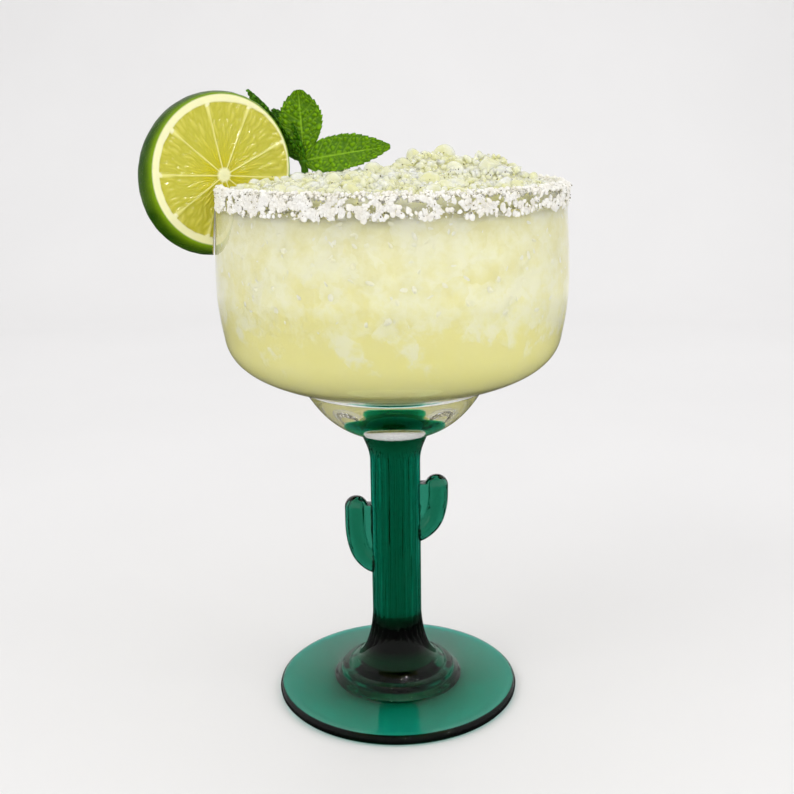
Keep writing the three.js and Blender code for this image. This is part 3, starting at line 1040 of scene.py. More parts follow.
    def build_bubble(self, finish: GlassFinish) -> Thing:
        """Makes the flat bubble of air between the green head and the joint.

        Args:
            finish: The finish that it wears.

        Returns:
            The bubble, whose skin faces inwards.
        """
        turn = np.linspace(-math.pi / 2, math.pi / 2, 27)[1:-1]
        half, middle = self.bubble_thickness / 2, self.bubble_height
        rim = [(self.bubble_radius * math.cos(t), middle + half * math.sin(t)) for t in turn]
        points, faces = Shell.turned(np.array([(0, middle - half), *rim, (0, middle + half)]), 120)
        bubble = Maker.piece("button_bubble", points, faces, finish.build())
        bubble.data.flip_normals()
        return Maker.settle(bubble, "clear_glass")

    def build_hollow(self, finish: GlassFinish) -> Thing:
        """Makes the shallow hollow of air in the foot, which lets light into the hub's rings.

        Args:
            finish: The finish that it wears.

        Returns:
            The hollow, whose skin faces inwards.
        """
        line = [(0, 0.7), (16.8, 0.7), (18.2, 1.2), (18.2, 2.0), (17.0, 3.4)]
        line += [(14.6, 4.8), (11.5, 5.6), (7, 6.0), (0, 6.1)]
        points, faces = Shell.turned(np.array(line), 160)
        hollow = Maker.piece("foot_hollow", points, faces, finish.build())
        hollow.data.flip_normals()
        return Maker.settle(hollow, "green_glass", ["stem"])

    def limb_line(self, route: Sequence[Span]) -> list[Vector]:
        """A smooth line through an arm's (x, z) route.

        Args:
            route: The places that the arm passes.

        Returns:
            Points along the line.
        """
        knots = [Vector((x, 0, z)) for x, z in route]
        ends = [knots[0] * 2 - knots[1], *knots, knots[-1] * 2 - knots[-2]]
        line: list[Vector] = []
        for a, b, c, d in zip(ends, ends[1:], ends[2:], ends[3:]):
            for t in np.arange(0, 1, 0.1):
                square = 2 * a - 5 * b + 4 * c - d
                line.append(0.5 * (2 * b + (c - a) * t + square * t**2 + (3 * b - a - 3 * c + d) * t**3))
        return [*line, knots[-1]]

    def limb(self, name: str, line: list[Vector], finish: Material) -> Thing:
        """One limb of the cactus, which turns up and ends in a round tip.

        Args:
            name: A name for the limb while it is loose.
            line: Its middle line.
            finish: The material that it wears.

        Returns:
            The limb as a closed piece.
        """
        ahead = (line[-1] - line[-2]).normalized()
        reach = self.limb_radius
        caps = [(math.sin(turn), math.cos(turn)) for turn in np.linspace(0, math.pi / 2, 9)[1:-1]]
        spine = [(spot, 1.0) for spot in line] + [(line[-1] + ahead * reach * up, thin) for up, thin in caps]
        around = 48
        flat = Vector((0, 1, 0))
        rings = []
        for i, (spot, thin) in enumerate(spine):
            before, after = spine[max(i - 1, 0)][0], spine[min(i + 1, len(spine) - 1)][0]
            side = (after - before).normalized().cross(flat).normalized()
            ring = []
            for angle in np.linspace(0, 2 * math.pi, around, endpoint=False):
                depth = math.copysign(abs(math.sin(angle)) ** 0.8, math.sin(angle)) * self.limb_flatness
                ring.append(tuple(spot + (side * math.cos(angle) + flat * depth) * reach * thin))
            rings.append(np.array(ring))
        points, faces = Shell.domed(rings, tuple(line[0]), tuple(line[-1] + ahead * reach))
        return Maker.piece(name, points, faces, finish)

    def web(self, name: str, corners: Sequence[Span], finish: Material) -> Thing:
        """The web of glass in the crook of an arm.

        Args:
            name: A name for the web while it is loose.
            corners: Its (x, z) corners.
            finish: The material that it wears.

        Returns:
            The web as a closed piece.
        """
        half = self.web_thickness / 2
        count = len(corners)
        points = np.array([(x, y, z) for y in (-half, half) for x, z in corners])
        faces: Faces = [tuple(range(count)), tuple(range(2 * count - 1, count - 1, -1))]
        faces += [(i, (i + 1) % count, count + (i + 1) % count, count + i) for i in range(count)]
        return Maker.piece(name, points, faces, finish)

    def press_grooves(self, arm: Thing, line: list[Vector]) -> None:
        """Presses shallow grooves into both faces of an arm, along the way that it grows.

        Args:
            arm: The arm.
            line: The middle line of its limb.
        """
        path = np.array([(spot.x, spot.z) for spot in line])
        for vertex in arm.data.vertices:
            spot = np.array((vertex.co.x, vertex.co.z)) / MM
            away = float(np.hypot(*(path - spot).T).min())
            groove = abs(math.cos(math.pi * away / self.groove_spacing)) ** 5
            facing = max(0.0, abs(vertex.normal.y) - 0.35) / 0.65
            vertex.co.y -= math.copysign(self.groove_depth * MM * groove * facing, vertex.co.y)

    def build_arms(self, finish: GlassFinish) -> list[Thing]:
        """Makes the two arms, each a limb and its web melted together, let into the trunk.

        Args:
            finish: The finish that it wears.

        Returns:
            The left arm and the right arm.
        """
        routes = {
            "left": [(-3, 47.2), (-8.2, 48.4), (-12, 52.4), (-13.8, 59.5), (-14, 69)],
            "right": [(3, 58.6), (8.4, 60.2), (12.4, 64), (14.2, 70), (14.5, 76.6)],
        }
        crooks = {
            "left": [(-3, 48), (-12.6, 52), (-13, 70.2), (-3, 69.8)],
            "right": [(3, 60), (12.9, 64), (13.4, 77.9), (3, 77.5)],
        }
        material = finish.build()
        arms = []
        for side, route in routes.items():
            line = self.limb_line(route)
            arm = self.limb(f"stem_arm_{side}", line, material)
            Maker.combine(arm, self.web(f"{side}_web", crooks[side], material), "UNION")
            Maker.melt(arm, self.arm_grain, self.arm_smoothing)
            self.press_grooves(arm, line)
            reach = self.stem_radius - 0.4
            core = np.array([(0, 30), (reach, 30), (reach, 90), (0, 90)], dtype=float)
            points, faces = Shell.turned(core, 120)
            Maker.combine(arm, Maker.piece("trunk_room", points, faces, material), "DIFFERENCE")
            arm.data.shade_smooth()
            arms.append(Maker.settle(arm, "green_glass", ["stem"]))
        return arms


@dataclass(frozen=True)
class WheelPlace:
    """Where the lime wheel sits: its middle, the way it faces and how oval it is."""

    middle: Spot = (-56.9, 0, 186)
    turn: float = math.radians(34)
    lean: float = math.radians(12)
    oval: float = 0.935
    oval_turn: float = math.radians(134)
    thickness: float = 8.0
    face_radius: float = 24.6
    bulge_radius: float = 26.7

    def matrix(self) -> Matrix:
        """The wheel's frame: its front face looks along the third axis, towards the viewer.

        Returns:
            The matrix from the wheel's frame to the glass's.
        """
        front = Vector((
            math.sin(self.turn) * math.cos(self.lean),
            -math.cos(self.turn) * math.cos(self.lean),
            math.sin(self.lean),
        ))
        side = Vector((0, 0, 1)).cross(front).normalized()
        up = front.cross(side)
        place = Matrix.Translation(self.middle) @ Matrix((side, up, front)).transposed().to_4x4()
        spin = Matrix.Rotation(self.oval_turn, 4, "Z")
        stretch = Matrix.Diagonal((self.oval, 1 / self.oval, 1, 1))
        return place @ spin @ stretch @ spin.inverted()

    def room(self, material: Material) -> Thing:
        """The space that the wheel takes, a little larger than the wheel, to cut from what surrounds it.

        Args:
            material: The material that it wears.

        Returns:
            The space as a closed piece.
        """
        half, reach = self.thickness / 2 + 0.25, self.bulge_radius + 0.25
        profile = [(0, -half), (reach - 1.4, -half), (reach, 1.4 - half)]
        profile += [(reach - 0.3, 0.6), (reach - 2, half), (0, half)]
        points, faces = Shell.turned(np.array(profile, dtype=float), 160)
        matrix = self.matrix()
        placed = np.array([matrix @ Vector(point) for point in points])
        return Maker.piece("wheel_room", placed, faces, material)

    def hides(self, spot: Sequence[float], margin: float) -> bool:
        """Whether a point lies in the wheel, grown by a margin."""
        x, y, z = self.matrix().inverted() @ Vector(spot)
        return abs(z) < self.thickness / 2 + margin and math.hypot(x, y) < self.bulge_radius + margin


class Lumps:
    """Broken, rounded lumps: a few moulds, set down many times at their own sizes and turns."""

    def __init__(self, seed: int, moulds: int = 10, fineness: int = 3, cuts: int = 9, soften: int = 2) -> None:
        """Cuts the moulds.

        Args:
            seed: The seed of the draw.
            moulds: How many different lumps to cut.
            fineness: How finely a lump's skin is divided.
            cuts: How many flat breaks a lump has.
            soften: How many times its edges are rounded off.
        """
        self.draw = np.random.default_rng(seed)
        ball = bmesh.new()
        bmesh.ops.create_icosphere(ball, subdivisions=fineness, radius=1)
        skin = np.array([vertex.co[:] for vertex in ball.verts])
        self.faces = np.array([[vertex.index for vertex in face.verts] for face in ball.faces])
        near = [[edge.other_vert(vertex).index for edge in vertex.link_edges] for vertex in ball.verts]
        ball.free()
        self.moulds: list[Points] = []
        for _ in range(moulds):
            lump = skin * (1 + 0.12 * self.draw.normal(size=3))
            for _ in range(cuts):
                way = self.draw.normal(size=3)
                way /= np.linalg.norm(way)
                over = np.maximum(lump @ way - self.draw.uniform(0.55, 0.85), 0)
                lump = lump - over[:, None] * way
            for _ in range(soften):
                around = np.array([lump[ids].mean(axis=0) for ids in near])
                lump = lump * 0.5 + around * 0.5
            self.moulds.append(lump / np.abs(lump).max())
        self.points: list[Points] = []
        self.skins: list[Points] = []

    def set_down(
        self, spot: Sequence[float], size: float | Sequence[float], turn: Matrix | None = None
    ) -> None:
        """Sets down one lump.

        Args:
            spot: Where its middle is.
            size: Its half width, or one for each of its axes.
            turn: How it is turned; drawn where none is given.
        """
        mould = self.moulds[int(self.draw.integers(len(self.moulds)))]
        if turn is None:
            way = self.draw.normal(size=4)
            way /= np.linalg.norm(way)
            w, x, y, z = way
            spun = np.array([
                [1 - 2 * (y * y + z * z), 2 * (x * y - w * z), 2 * (x * z + w * y)],
                [2 * (x * y + w * z), 1 - 2 * (x * x + z * z), 2 * (y * z - w * x)],
                [2 * (x * z - w * y), 2 * (y * z + w * x), 1 - 2 * (x * x + y * y)],
            ])
        else:
            spun = np.array(turn.to_3x3())
        count = sum(len(points) for points in self.points)
        self.points.append((mould * np.asarray(size)) @ spun.T + np.asarray(spot))
        self.skins.append(self.faces + count)

    def piece(self, name: str, material: Material, smooth: bool = True) -> Thing:
        """Joins all the lumps set down into one piece."""
        faces = [tuple(face) for face in np.vstack(self.skins).tolist()]
        return Maker.piece(name, np.vstack(self.points), faces, material, smooth)


@dataclass
class Drink:
    """What fills the bowl: a clear pale liquid over a cloudy, lumpy body of slush."""

    glass: Glassware
    wheel: WheelPlace
    level: float = 176.0
    reach: float = 0.2
    sides: int = 220
    sunk_lumps: int = 520
    clearance: float = 0.6
    squeeze: float = 0.9

    def build_liquid(self, finish: GlassFinish) -> Thing:
        """Makes the liquid, which reaches just into the wall so that no air shows.

        Args:
            finish: The finish that it wears.

        Returns:
            The liquid.
        """
        wall = self.glass.inner_line(-self.reach, steps=4)
        wall = wall[wall[:, 1] < self.level - 1.5]
        top = self.glass.rim_radius - self.glass.wall + self.reach + 0.25
        level = self.level
        rim = [(0, level - 0.4), (top - 3, level - 0.4), (top - 1, level - 0.2), (top, level)]
        profile = np.vstack([rim, wall])[::-1]
        points, faces = Shell.turned(profile, self.sides)
        liquid = Maker.piece("drink_liquid", points, faces, finish.build())
        return Maker.settle(liquid, "lime_drink", ["drink"])

    def build_slush(self, finish: SlushFinish) -> Thing:
        """Makes the cloudy body inside the liquid, lumpy where ice is and smooth at the bottom.

        Args:
            finish: The finish that it wears.

        Returns:
            The slush.
        """
        line = self.glass.inner_line(0.0, steps=5)
        line = line[line[:, 1] < self.level - 1.0][::-1]
        slopes = np.gradient(line, axis=0)
        outward = np.stack([slopes[:, 1], -slopes[:, 0]], 1)
        outward /= np.linalg.norm(outward, axis=1)[:, None]
        angles = Shell.angles(self.sides)
        rings = []
        for (radius, height), (out_r, out_z) in zip(line[1:], outward[1:]):
            touch = float(smoothstep(121.0, 122.5, height))
            ring = []
            for angle in angles:
                spot = Vector((radius * math.cos(angle), radius * math.sin(angle), height))
                icy = float(smoothstep(138, 143, height + 4 * noise.noise(spot / 15)))
                near, far = noise.voronoi(spot / 5)[0][:2]
                seam = 1 - float(smoothstep(0.0, 0.3, far - near))
                inset = self.clearance - self.squeeze * touch
                inset = min(inset + icy * (0.12 * seam + 0.12 * noise.noise(spot / 3)), radius)
                reach = radius - inset * out_r
                ring.append((reach * math.cos(angle), reach * math.sin(angle), height - inset * out_z))
            rings.append(np.array(ring))
        top = self.level - 0.9
        last = rings[-1].copy()
        for share in (0.85, 0.6, 0.3):
            ring = last * share
            ring[:, 2] = top
            rings.append(ring)
        points, faces = Shell.domed(rings, (0, 0, line[0][1] + 1.0), (0, 0, top))
        material = finish.build()
        slush = Maker.piece("drink_slush", points, faces, material)
        Maker.combine(slush, self.wheel.room(material), "DIFFERENCE")
        slush.data.shade_smooth()
        return Maker.settle(slush, "lime_drink", ["drink"])

    def build_sunk_ice(self, finish: IceFinish) -> Thing:
        """Makes the cloudy lumps of ice that press against the wall under the level.

        Args:
            finish: The finish that it wears.

        Returns:
            The sunk ice.
        """
        lumps = Lumps(seed=41, fineness=2, cuts=6, soften=1)
        draw = np.random.default_rng(42)
        wall = self.glass.inner_line(0.0, steps=2)[::-1]
        for _ in range(self.sunk_lumps):
            angle = draw.uniform(0, 2 * math.pi)
            way = Vector((math.cos(angle), math.sin(angle), 0))
            lowest = 142 + 9 * noise.noise(way * 3)
            height = draw.uniform(lowest, self.level - 2.5)
            radius = float(np.interp(height, wall[:, 1], wall[:, 0]))
            size = draw.uniform(0.8, 2.0) * draw.uniform(1.0, 1.8)
            reach = radius + 0.38 - 0.3 * size + draw.uniform(-0.08, 0.06)
            spot = (reach * way.x, reach * way.y, height)
            turn = Matrix.Rotation(angle, 3, "Z") @ Matrix.Rotation(draw.uniform(0, 6), 3, "X")
            if not self.wheel.hides(spot, size + 0.3):
                lumps.set_down(spot, (0.3 * size, size, size * draw.uniform(0.4, 0.8)), turn)
        return Maker.settle(lumps.piece("drink_ice", finish.build()), "crushed_ice")


@dataclass
class IceHeap:
    """The heap of crushed ice over the level: a low mound with lumps of many sizes on it."""

    wheel: WheelPlace
    radius: float = 53.6
    room: float = 53.0
    base: float = 176.3
    mound: float = 180.2
    big_lumps: int = 68
    small_lumps: int = 1800
    lowered: float = 0.3
    sides: int = 160
    seed: int = 11

    def height(self, x: float, y: float) -> float:
        """The mound's height: low all over, with two crests right of the middle.

        Args:
            x: How far right of the axis.
            y: How far behind it.

        Returns:
            The height.
        """
        swell = 4.2 * (1 - (x * x + y * y) / self.radius**2)
        crest = 6.6 * math.exp(-((x - 14) ** 2 + (y - 2) ** 2) / 170)
        knoll = 6.2 * math.exp(-((x - 34) ** 2 + y * y) / 80)
        return self.mound + swell + crest + knoll

    def build_core(self, finish: SlushFinish) -> Thing:
        """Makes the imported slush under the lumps.

        Args:
            finish: The finish that it wears.

        Returns:
            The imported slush.
        """
        under = self.base - 0.4
        rings = [Shell.ring(reach, self.sides, under) for reach in (20, 45, self.room)]
        for share in np.linspace(1, 0.03, 46):
            ring = []
            for angle in Shell.angles(self.sides):
                x, y = self.room * share * math.cos(angle), self.room * share * math.sin(angle)
                bump = 1.1 * noise.noise(Vector((x, y, 3)) / 5) + 0.5 * noise.noise(Vector((x, y, 9)) / 2)
                ring.append((x, y, self.height(x, y) - self.lowered + bump))
            rings.append(np.array(ring))
        points, faces = Shell.domed(rings, (0, 0, under), (0, 0, self.height(0, 0) - self.lowered))
        core = Maker.piece("heap_core", points, faces, finish.build())
        return Maker.settle(core, "crushed_ice", ["crushed_ice"])

    def tucked(self, x: float, y: float, size: float) -> Span:
        """A place moved in towards the axis where a lump would reach past the salt.

        Args:
            x: How far right of the axis.
            y: How far behind it.
            size: The lump's half width.

        Returns:
            The new place.
        """
        reach = math.hypot(x, y)
        most = self.room - 0.8 * size
        share = min(1.0, most / reach) if reach > 0 else 1.0
        return x * share, y * share

    def build_lumps(self, finish: IceFinish) -> list[Thing]:
        """Makes the lumps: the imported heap's own large ones, and smaller ones between them.

        Args:
            finish: The finish that it wears.

        Returns:
            The large lumps and the small ones.
        """
        lumps = Lumps(seed=31, fineness=3, cuts=12, soften=1)
        draw = SeededDraw(self.seed)
        golden = math.pi * (3 - math.sqrt(5))
        for i in range(self.big_lumps):
            reach = (self.radius - 2.6) * math.sqrt((i + 0.5) / self.big_lumps)
            angle = i * golden + 0.5 * (draw() - 0.5)
            size = 3.9 + 2.3 * draw()
            turns = [6 * draw() for _ in range(3)]
            turn = Matrix.Identity(3)
            for amount, axis in zip(turns, "XYZ"):
                turn = turn @ Matrix.Rotation(amount, 3, axis)
            widths = (size, size * (0.75 + 0.3 * draw()), size * (0.7 + 0.25 * draw()))
            sunk = size * (0.05 + 0.35 * draw())
            x, y = reach * math.cos(angle), reach * math.sin(angle)
            spot_height = self.height(x, y) - sunk
            x, y = self.tucked(x, y, size)
            if not self.wheel.hides((x, y, spot_height), 0.35 * size):
                lumps.set_down((x, y, spot_height), np.array(widths) * 0.85, turn)
        bits = Lumps(seed=33, fineness=2, cuts=8, soften=0)
        mix = np.random.default_rng(32)
        for i in range(self.small_lumps):
            reach = (self.room - 1) * math.sqrt((i + 0.5) / self.small_lumps)
            angle = i * golden + 0.6 * mix.normal()
            size = mix.uniform(0.7, 1.3) * mix.uniform(0.9, 2.0)
            x, y = self.tucked(reach * math.cos(angle), reach * math.sin(angle), size)
            spot = (x, y, self.height(x, y) + size * mix.uniform(-0.4, 0.35))
            if not self.wheel.hides(spot, 0.5 * size):
                bits.set_down(spot, (size, size * mix.uniform(0.6, 1), size * mix.uniform(0.5, 0.9)))
        material = finish.build()
        return [
            Maker.settle(lumps.piece("heap_lumps", material), "crushed_ice", ["crushed_ice"]),
            Maker.settle(bits.piece("heap_bits", material), "crushed_ice"),
        ]


@dataclass
class SaltRim:
    """The crust of salt over the lip: clotted lumps with loose grains, broken by small gaps."""

    glass: Glassware
    wheel: WheelPlace
    clots: int = 1600
    patches: int = 3000
    grains: int = 8000
    specks: int = 120

    def section(self, share: float, thick: float, drop: float) -> Span:
        """A point on the crust's outside, from the skirt outside, over the lip, to the edge inside.

        Args:
            share: How far along the section, from 0 to 1.
            thick: How proud of the glass the crust stands.
            drop: How far the skirt hangs lower than usual.

        Returns:
            The point's radius and height.
        """
        rim, top = self.glass.rim_radius, self.glass.rim_height
        inside = rim - self.glass.wall
        line = [
            (rim + 0.55 + 0.1 * thick, 174.6 - drop),
            (rim + 0.25 + 0.45 * thick, 178),
            (rim + 0.2 + 0.75 * thick, top - 0.2),
            (rim - self.glass.wall / 2, top + 0.5 + 0.7 * thick),
            (inside - 0.2 - 0.4 * thick, top - 0.4),
            (inside - 0.3 - 0.3 * thick, 179.4),
        ]
        marks = [0, 0.3, 0.58, 0.76, 0.9, 1.0]
        radii, heights = zip(*line)
        return float(np.interp(share, marks, radii)), float(np.interp(share, marks, heights))

    def cover(self, angle: float, height: float) -> float:
        """How thickly the salt lies on the skirt: bare in the gaps, and ragged along its lower edge.

        Args:
            angle: The angle about the axis.
            height: The height above the table.

        Returns:
            The share that is covered: none at zero or below, all at one or above.
        """
        spot = Vector((math.cos(angle) * 60, math.sin(angle) * 60, height))
        patch = noise.noise(spot / 4.2) + 0.6 * noise.noise(spot / 1.7)
        skirt = float(smoothstep(173.6, 176.0, height + 2.6 * noise.noise(spot / 5)))
        opening = max(0.0, 0.1 + 2.4 * noise.noise(Vector((math.cos(angle) * 9, math.sin(angle) * 9, 2))))
        window = opening * math.exp(-((height - 179.7) ** 2) / 1.7)
        return skirt * (0.9 + 1.3 * patch - window)

    def scatter(
        self, lumps: Lumps, count: int, part: Span, sizes: Span, flat: float, rise: float
    ) -> None:
        """Sets lumps down over a part of the crust.

        Args:
            lumps: The lumps to set down.
            count: How many places to try.
            part: Where the part starts and ends along the section.
            sizes: The smallest and the largest half width.
            flat: How thick a lump is, as a share of its width.
            rise: How far out of the crust's outside they stand, as a share of their thickness.
        """
        draw = np.random.default_rng(count)
        for _ in range(count):
            angle = draw.uniform(0, 2 * math.pi)
            share = draw.uniform(*part)
            way = Vector((math.cos(angle), math.sin(angle), 0))
            thick = 0.85 + 0.4 * math.cos(angle) + 0.35 * noise.noise(way * 9)
            radius, height = self.section(share, thick, 0.9 * noise.noise(way * 14 + Vector((0, 0, 5))))
            size = draw.uniform(*sizes)
            if share < 0.56 and draw.uniform() > self.cover(angle, height):
                continue
            inward = 1 if share < 0.76 else -1
            radius += inward * (rise - 0.55) * size * flat
            spot = (radius * way.x, radius * way.y, height)
            if self.wheel.hides(spot, size + 0.3):
                continue
            turn = Matrix.Rotation(angle, 3, "Z") @ Matrix.Rotation(draw.uniform(0, 6), 3, "X")
            widths = (size * flat, size * draw.uniform(0.7, 1), size * draw.uniform(0.65, 0.95))
            lumps.set_down(spot, widths, turn)

    def build(self, finish: SaltFinish) -> list[Thing]:
        """Makes the clumps along the crest, the flat patches on the skirt and the loose grains.

        Args:
            finish: The finish that it wears.

        Returns:
            The crest, the patches and the grains.
        """
        material = finish.build()
        clots = Lumps(seed=52, fineness=2, cuts=7, soften=1)
        self.scatter(clots, self.clots, (0.54, 1.0), (0.45, 1.0), 1.0, 0.0)
        flats = Lumps(seed=54, fineness=2, cuts=7, soften=1)
        self.scatter(flats, self.patches, (0.0, 0.56), (0.6, 1.5), 0.32, 0.2)
        grains = Lumps(seed=53, fineness=1, cuts=6, soften=0)
        self.scatter(grains, self.grains, (0.0, 1.0), (0.18, 0.38), 1.0, 0.9)
        return [
            Maker.settle(clots.piece("salt_crest", material), "coarse_salt", ["salt_rim"]),
            Maker.settle(flats.piece("salt_patches", material), "coarse_salt", ["salt_rim"]),
            Maker.settle(grains.piece("salt_grains", material), "coarse_salt", ["salt_rim"]),
        ]

    def build_specks(self, finish: SpeckFinish, heap: IceHeap) -> Thing:
        """Makes the dark flecks on the salt, and on the ice inside it.

        Args:
            finish: The finish that it wears.
            heap: The heap of ice.

        Returns:
            The flecks.
        """
        draw = np.random.default_rng(61)
        specks = Lumps(seed=62, fineness=1, cuts=5, soften=0)
        for _ in range(self.specks):
            angle, share = draw.uniform(0, 2 * math.pi), draw.uniform(0.02, 0.7)
            radius, height = self.section(share, 1.0 + 0.35 * math.cos(angle), 0)
            size = draw.uniform(0.18, 0.38)
            spot = ((radius + 0.5) * math.cos(angle), (radius + 0.5) * math.sin(angle), height)
            if not self.wheel.hides(spot, 0.5):
                specks.set_down(spot, (size, size * 0.7, size * 0.5))
        for _ in range(self.specks):
            angle, reach = draw.uniform(0, 2 * math.pi), heap.room * math.sqrt(draw.uniform(0, 0.95))
            x, y = reach * math.cos(angle), reach * math.sin(angle)
            size = draw.uniform(0.2, 0.42)
            spot = (x, y, heap.height(x, y) + draw.uniform(0.6, 2.2))
            if not self.wheel.hides(spot, 0.5):
                specks.set_down(spot, (size, size * 0.7, size * 0.5))
        return Maker.settle(specks.piece("spice_specks", finish.build(), smooth=False), "coarse_salt")


@dataclass
class LimeWheel:
    """The lime wheel: ten segments of juice sacs between membranes, a ring of pith and a green rind."""

    place: WheelPlace
    glass: Glassware
    membranes: tuple[float, ...] = (17, 60, 100, 140, 179, 216, 251, 285, 316, 347)
    core: Span = (0.4, -2.0)
    core_radius: float = 2.1
    flesh_radius: float = 21.8
    spokes: int = 260
    masks: dict[str, list[float]] = field(default_factory=dict)

    def membrane_share(self, angle: float, radius: float) -> tuple[float, int]:
        """How much of a point is membrane, and which segment it is in.

        Args:
            angle: The point's angle in degrees.
            radius: Its distance from the core.

        Returns:
            The share, from 0 to 1, and the segment's number.
        """
        turns = np.array([*self.membranes, self.membranes[0] + 360])
        angle = (angle - self.membranes[0]) % 360 + self.membranes[0]
        segment = int(np.searchsorted(turns, angle, side="right")) - 1
        nearest = min(angle - turns[segment], turns[segment + 1] - angle)
        distance = math.radians(nearest) * max(radius, 1.0)
        width = 0.22 + 0.35 * float(smoothstep(16, self.flesh_radius, radius))
        return float(1 - smoothstep(width * 0.5, width * 1.6, distance)), segment

    def sac_height(self, angle: float, radius: float, segment: int) -> float:
        """The relief of the juice sacs, which are long and lie towards the core.

        Args:
            angle: The point's angle in degrees.
            radius: Its distance from the core.
            segment: The number of its segment.

        Returns:
            The height, from 0 to 1.
        """
        sway = 0.22 * noise.noise(Vector((radius * 0.22, segment * 7.1, angle * 0.02)))
        around = math.radians(angle) * 9.5 + sway * 4
        spot = Vector((around * 1.25, radius * 0.19 + segment * 3.7, segment * 5.3))
        distances = noise.voronoi(spot)[0]
        return min(1.0, max(0.0, (distances[1] - distances[0]) * 1.7))

    def note(self, **values: float) -> None:
        """Keeps one number for each mask of the point just placed."""
        for key in ("sac", "heart", "membrane", "pith", "edge", "peel"):
            self.masks.setdefault(key, []).append(values.get(key, 0.0))

    def face_ring(self, radius: float, side: int) -> Points:
        """One ring of a cut face, with its relief.

        Args:
            radius: The ring's radius.
            side: One for the front face, minus one for the back.

        Returns:
            The ring's points in the wheel's frame.
        """
        half = self.place.thickness / 2
        off = max(1 - radius / self.flesh_radius, 0)
        ring = []
        for j in range(self.spokes):
            angle = 360 * j / self.spokes
            wall, segment = self.membrane_share(angle, radius)
            dome = 0.9 * (1 - wall) * float(smoothstep(0, 3, abs(wall - 1) * 3))
            thin = 1.9 * float(smoothstep(-0.1, 0.95, math.cos(math.radians(angle + 12))))
            waver = 0.25 * noise.noise(Vector((angle * 0.12, side * 4.0, 0)))
            outer = self.flesh_radius - 0.9 + thin + dome + waver
            in_flesh = float(smoothstep(outer + 0.35, outer - 0.1, radius)) if radius > 10 else 1.0
            in_core = float(1 - smoothstep(self.core_radius - 0.2, self.core_radius + 0.5, radius))
            pith = max(1 - in_flesh, in_core)
            sac = self.sac_height(angle, radius, segment) * (1 - wall) * (1 - pith)
            heart = float(1 - smoothstep(4, 15, radius))
            dip = (1 - pith) * (1 - wall) * 0.42
            grain = 0.06 * noise.noise(Vector((radius, angle * 0.3, side)))
            height = side * (half - dip + 0.3 * sac + grain)
            turn = math.radians(angle)
            x = radius * math.cos(turn) + off * self.core[0]
            y = radius * math.sin(turn) + off * self.core[1]
            ring.append((x, y, height))
            edge = float(smoothstep(self.place.face_radius - 0.5, self.place.face_radius, radius))
            # The sac mask is high in the hollows between the sacs, where the finish paints shade.
            self.note(sac=1 - sac, heart=heart, membrane=wall, pith=pith, edge=1.0, peel=edge)
        return np.array(ring)

    def rind_ring(self, radius: float, height: float, edge: float) -> Points:
        """One ring of the rind, faintly uneven.

        Args:
            radius: The ring's radius.
            height: Its height along the wheel's axis.
            edge: How much of the paler cut edge it shows.

        Returns:
            The ring's points in the wheel's frame.
        """
        ring = []
        for j in range(self.spokes):
            turn = 2 * math.pi * j / self.spokes
            reach = radius + 0.12 * noise.noise(Vector((math.cos(turn) * 9, math.sin(turn) * 9, height * 0.5)))
            ring.append((reach * math.cos(turn), reach * math.sin(turn), height))
            self.note(edge=edge, peel=1.0)
        return np.array(ring)

    def slit(self, material: Material) -> Thing:
        """The space that the wall of the glass takes in the wheel.

        Args:
            material: The material that it wears.

        Returns:
            The space as a closed piece.
        """
        slack = 0.35
        rim, wall, top = self.glass.rim_radius, self.glass.wall, self.glass.rim_height
        outer = [(59.6, 150), (58.6 + slack, 164), (rim + slack, top + slack)]
        inner = [(rim - wall - slack, top + slack), (56.2 - slack, 164), (55.8, 150)]
        ring = np.array([*outer, *inner])
        angles = np.radians(np.arange(90, 271, 2))
        count = len(ring)
        points = np.array([(r * math.cos(a), r * math.sin(a), z) for a in angles for r, z in ring])
        faces: Faces = []
        for i in range(len(angles) - 1):
            for j in range(count):
                k = (j + 1) % count
                faces.append((i * count + j, (i + 1) * count + j, (i + 1) * count + k, i * count + k))
        faces.append(tuple(range(count)))
        faces.append(tuple(range(len(points) - 1, len(points) - count - 1, -1)))
        return Maker.piece("slit", points, faces, material)

    def build(self, finish: LimeFinish) -> Thing:
        """Makes the wheel and slits it over the rim.

        Args:
            finish: The finish that it wears.

        Returns:
            The wheel.
        """
        place = self.place
        half = place.thickness / 2
        inner = np.concatenate([
            np.linspace(0.5, self.core_radius + 0.6, 6),
            np.linspace(self.core_radius + 0.9, self.flesh_radius - 1.4, 44),
            np.linspace(self.flesh_radius - 1.15, place.face_radius - 0.05, 18),
        ])
        rings = [self.face_ring(radius, -1) for radius in inner]
        rind = [
            (place.face_radius + 0.55, -half + 0.1, 0.9),
            (place.face_radius + 1.3, -half + 0.5, 0.3),
            (place.bulge_radius - 0.15, -half * 0.72, 0.0),
            (place.bulge_radius, -half * 0.5, 0.0),
            (place.bulge_radius - 0.1, -half * 0.2, 0.0),
            (place.bulge_radius - 0.35, half * 0.1, 0.0),
            (place.bulge_radius - 0.75, half * 0.4, 0.1),
            (place.bulge_radius - 1.2, half * 0.65, 0.35),
            (place.face_radius + 0.45, half * 0.85, 0.75),
            (place.face_radius + 0.15, half * 0.97, 1.0),
        ]
        rings += [self.rind_ring(*row) for row in rind]
        rings += [self.face_ring(radius, 1) for radius in inner[::-1]]
        for _ in range(2):
            self.note(heart=1.0, pith=1.0)
        points, faces = Shell.domed(rings, (*self.core, -half), (*self.core, half))
        matrix = place.matrix()
        placed = np.array([matrix @ Vector(point) for point in points])
        material = finish.build()
        wheel = Maker.piece("lime_slice", placed, faces, material)
        for key, values in self.masks.items():
            Maker.attribute(wheel, key, np.array(values))
        Maker.combine(wheel, self.slit(material), "DIFFERENCE")
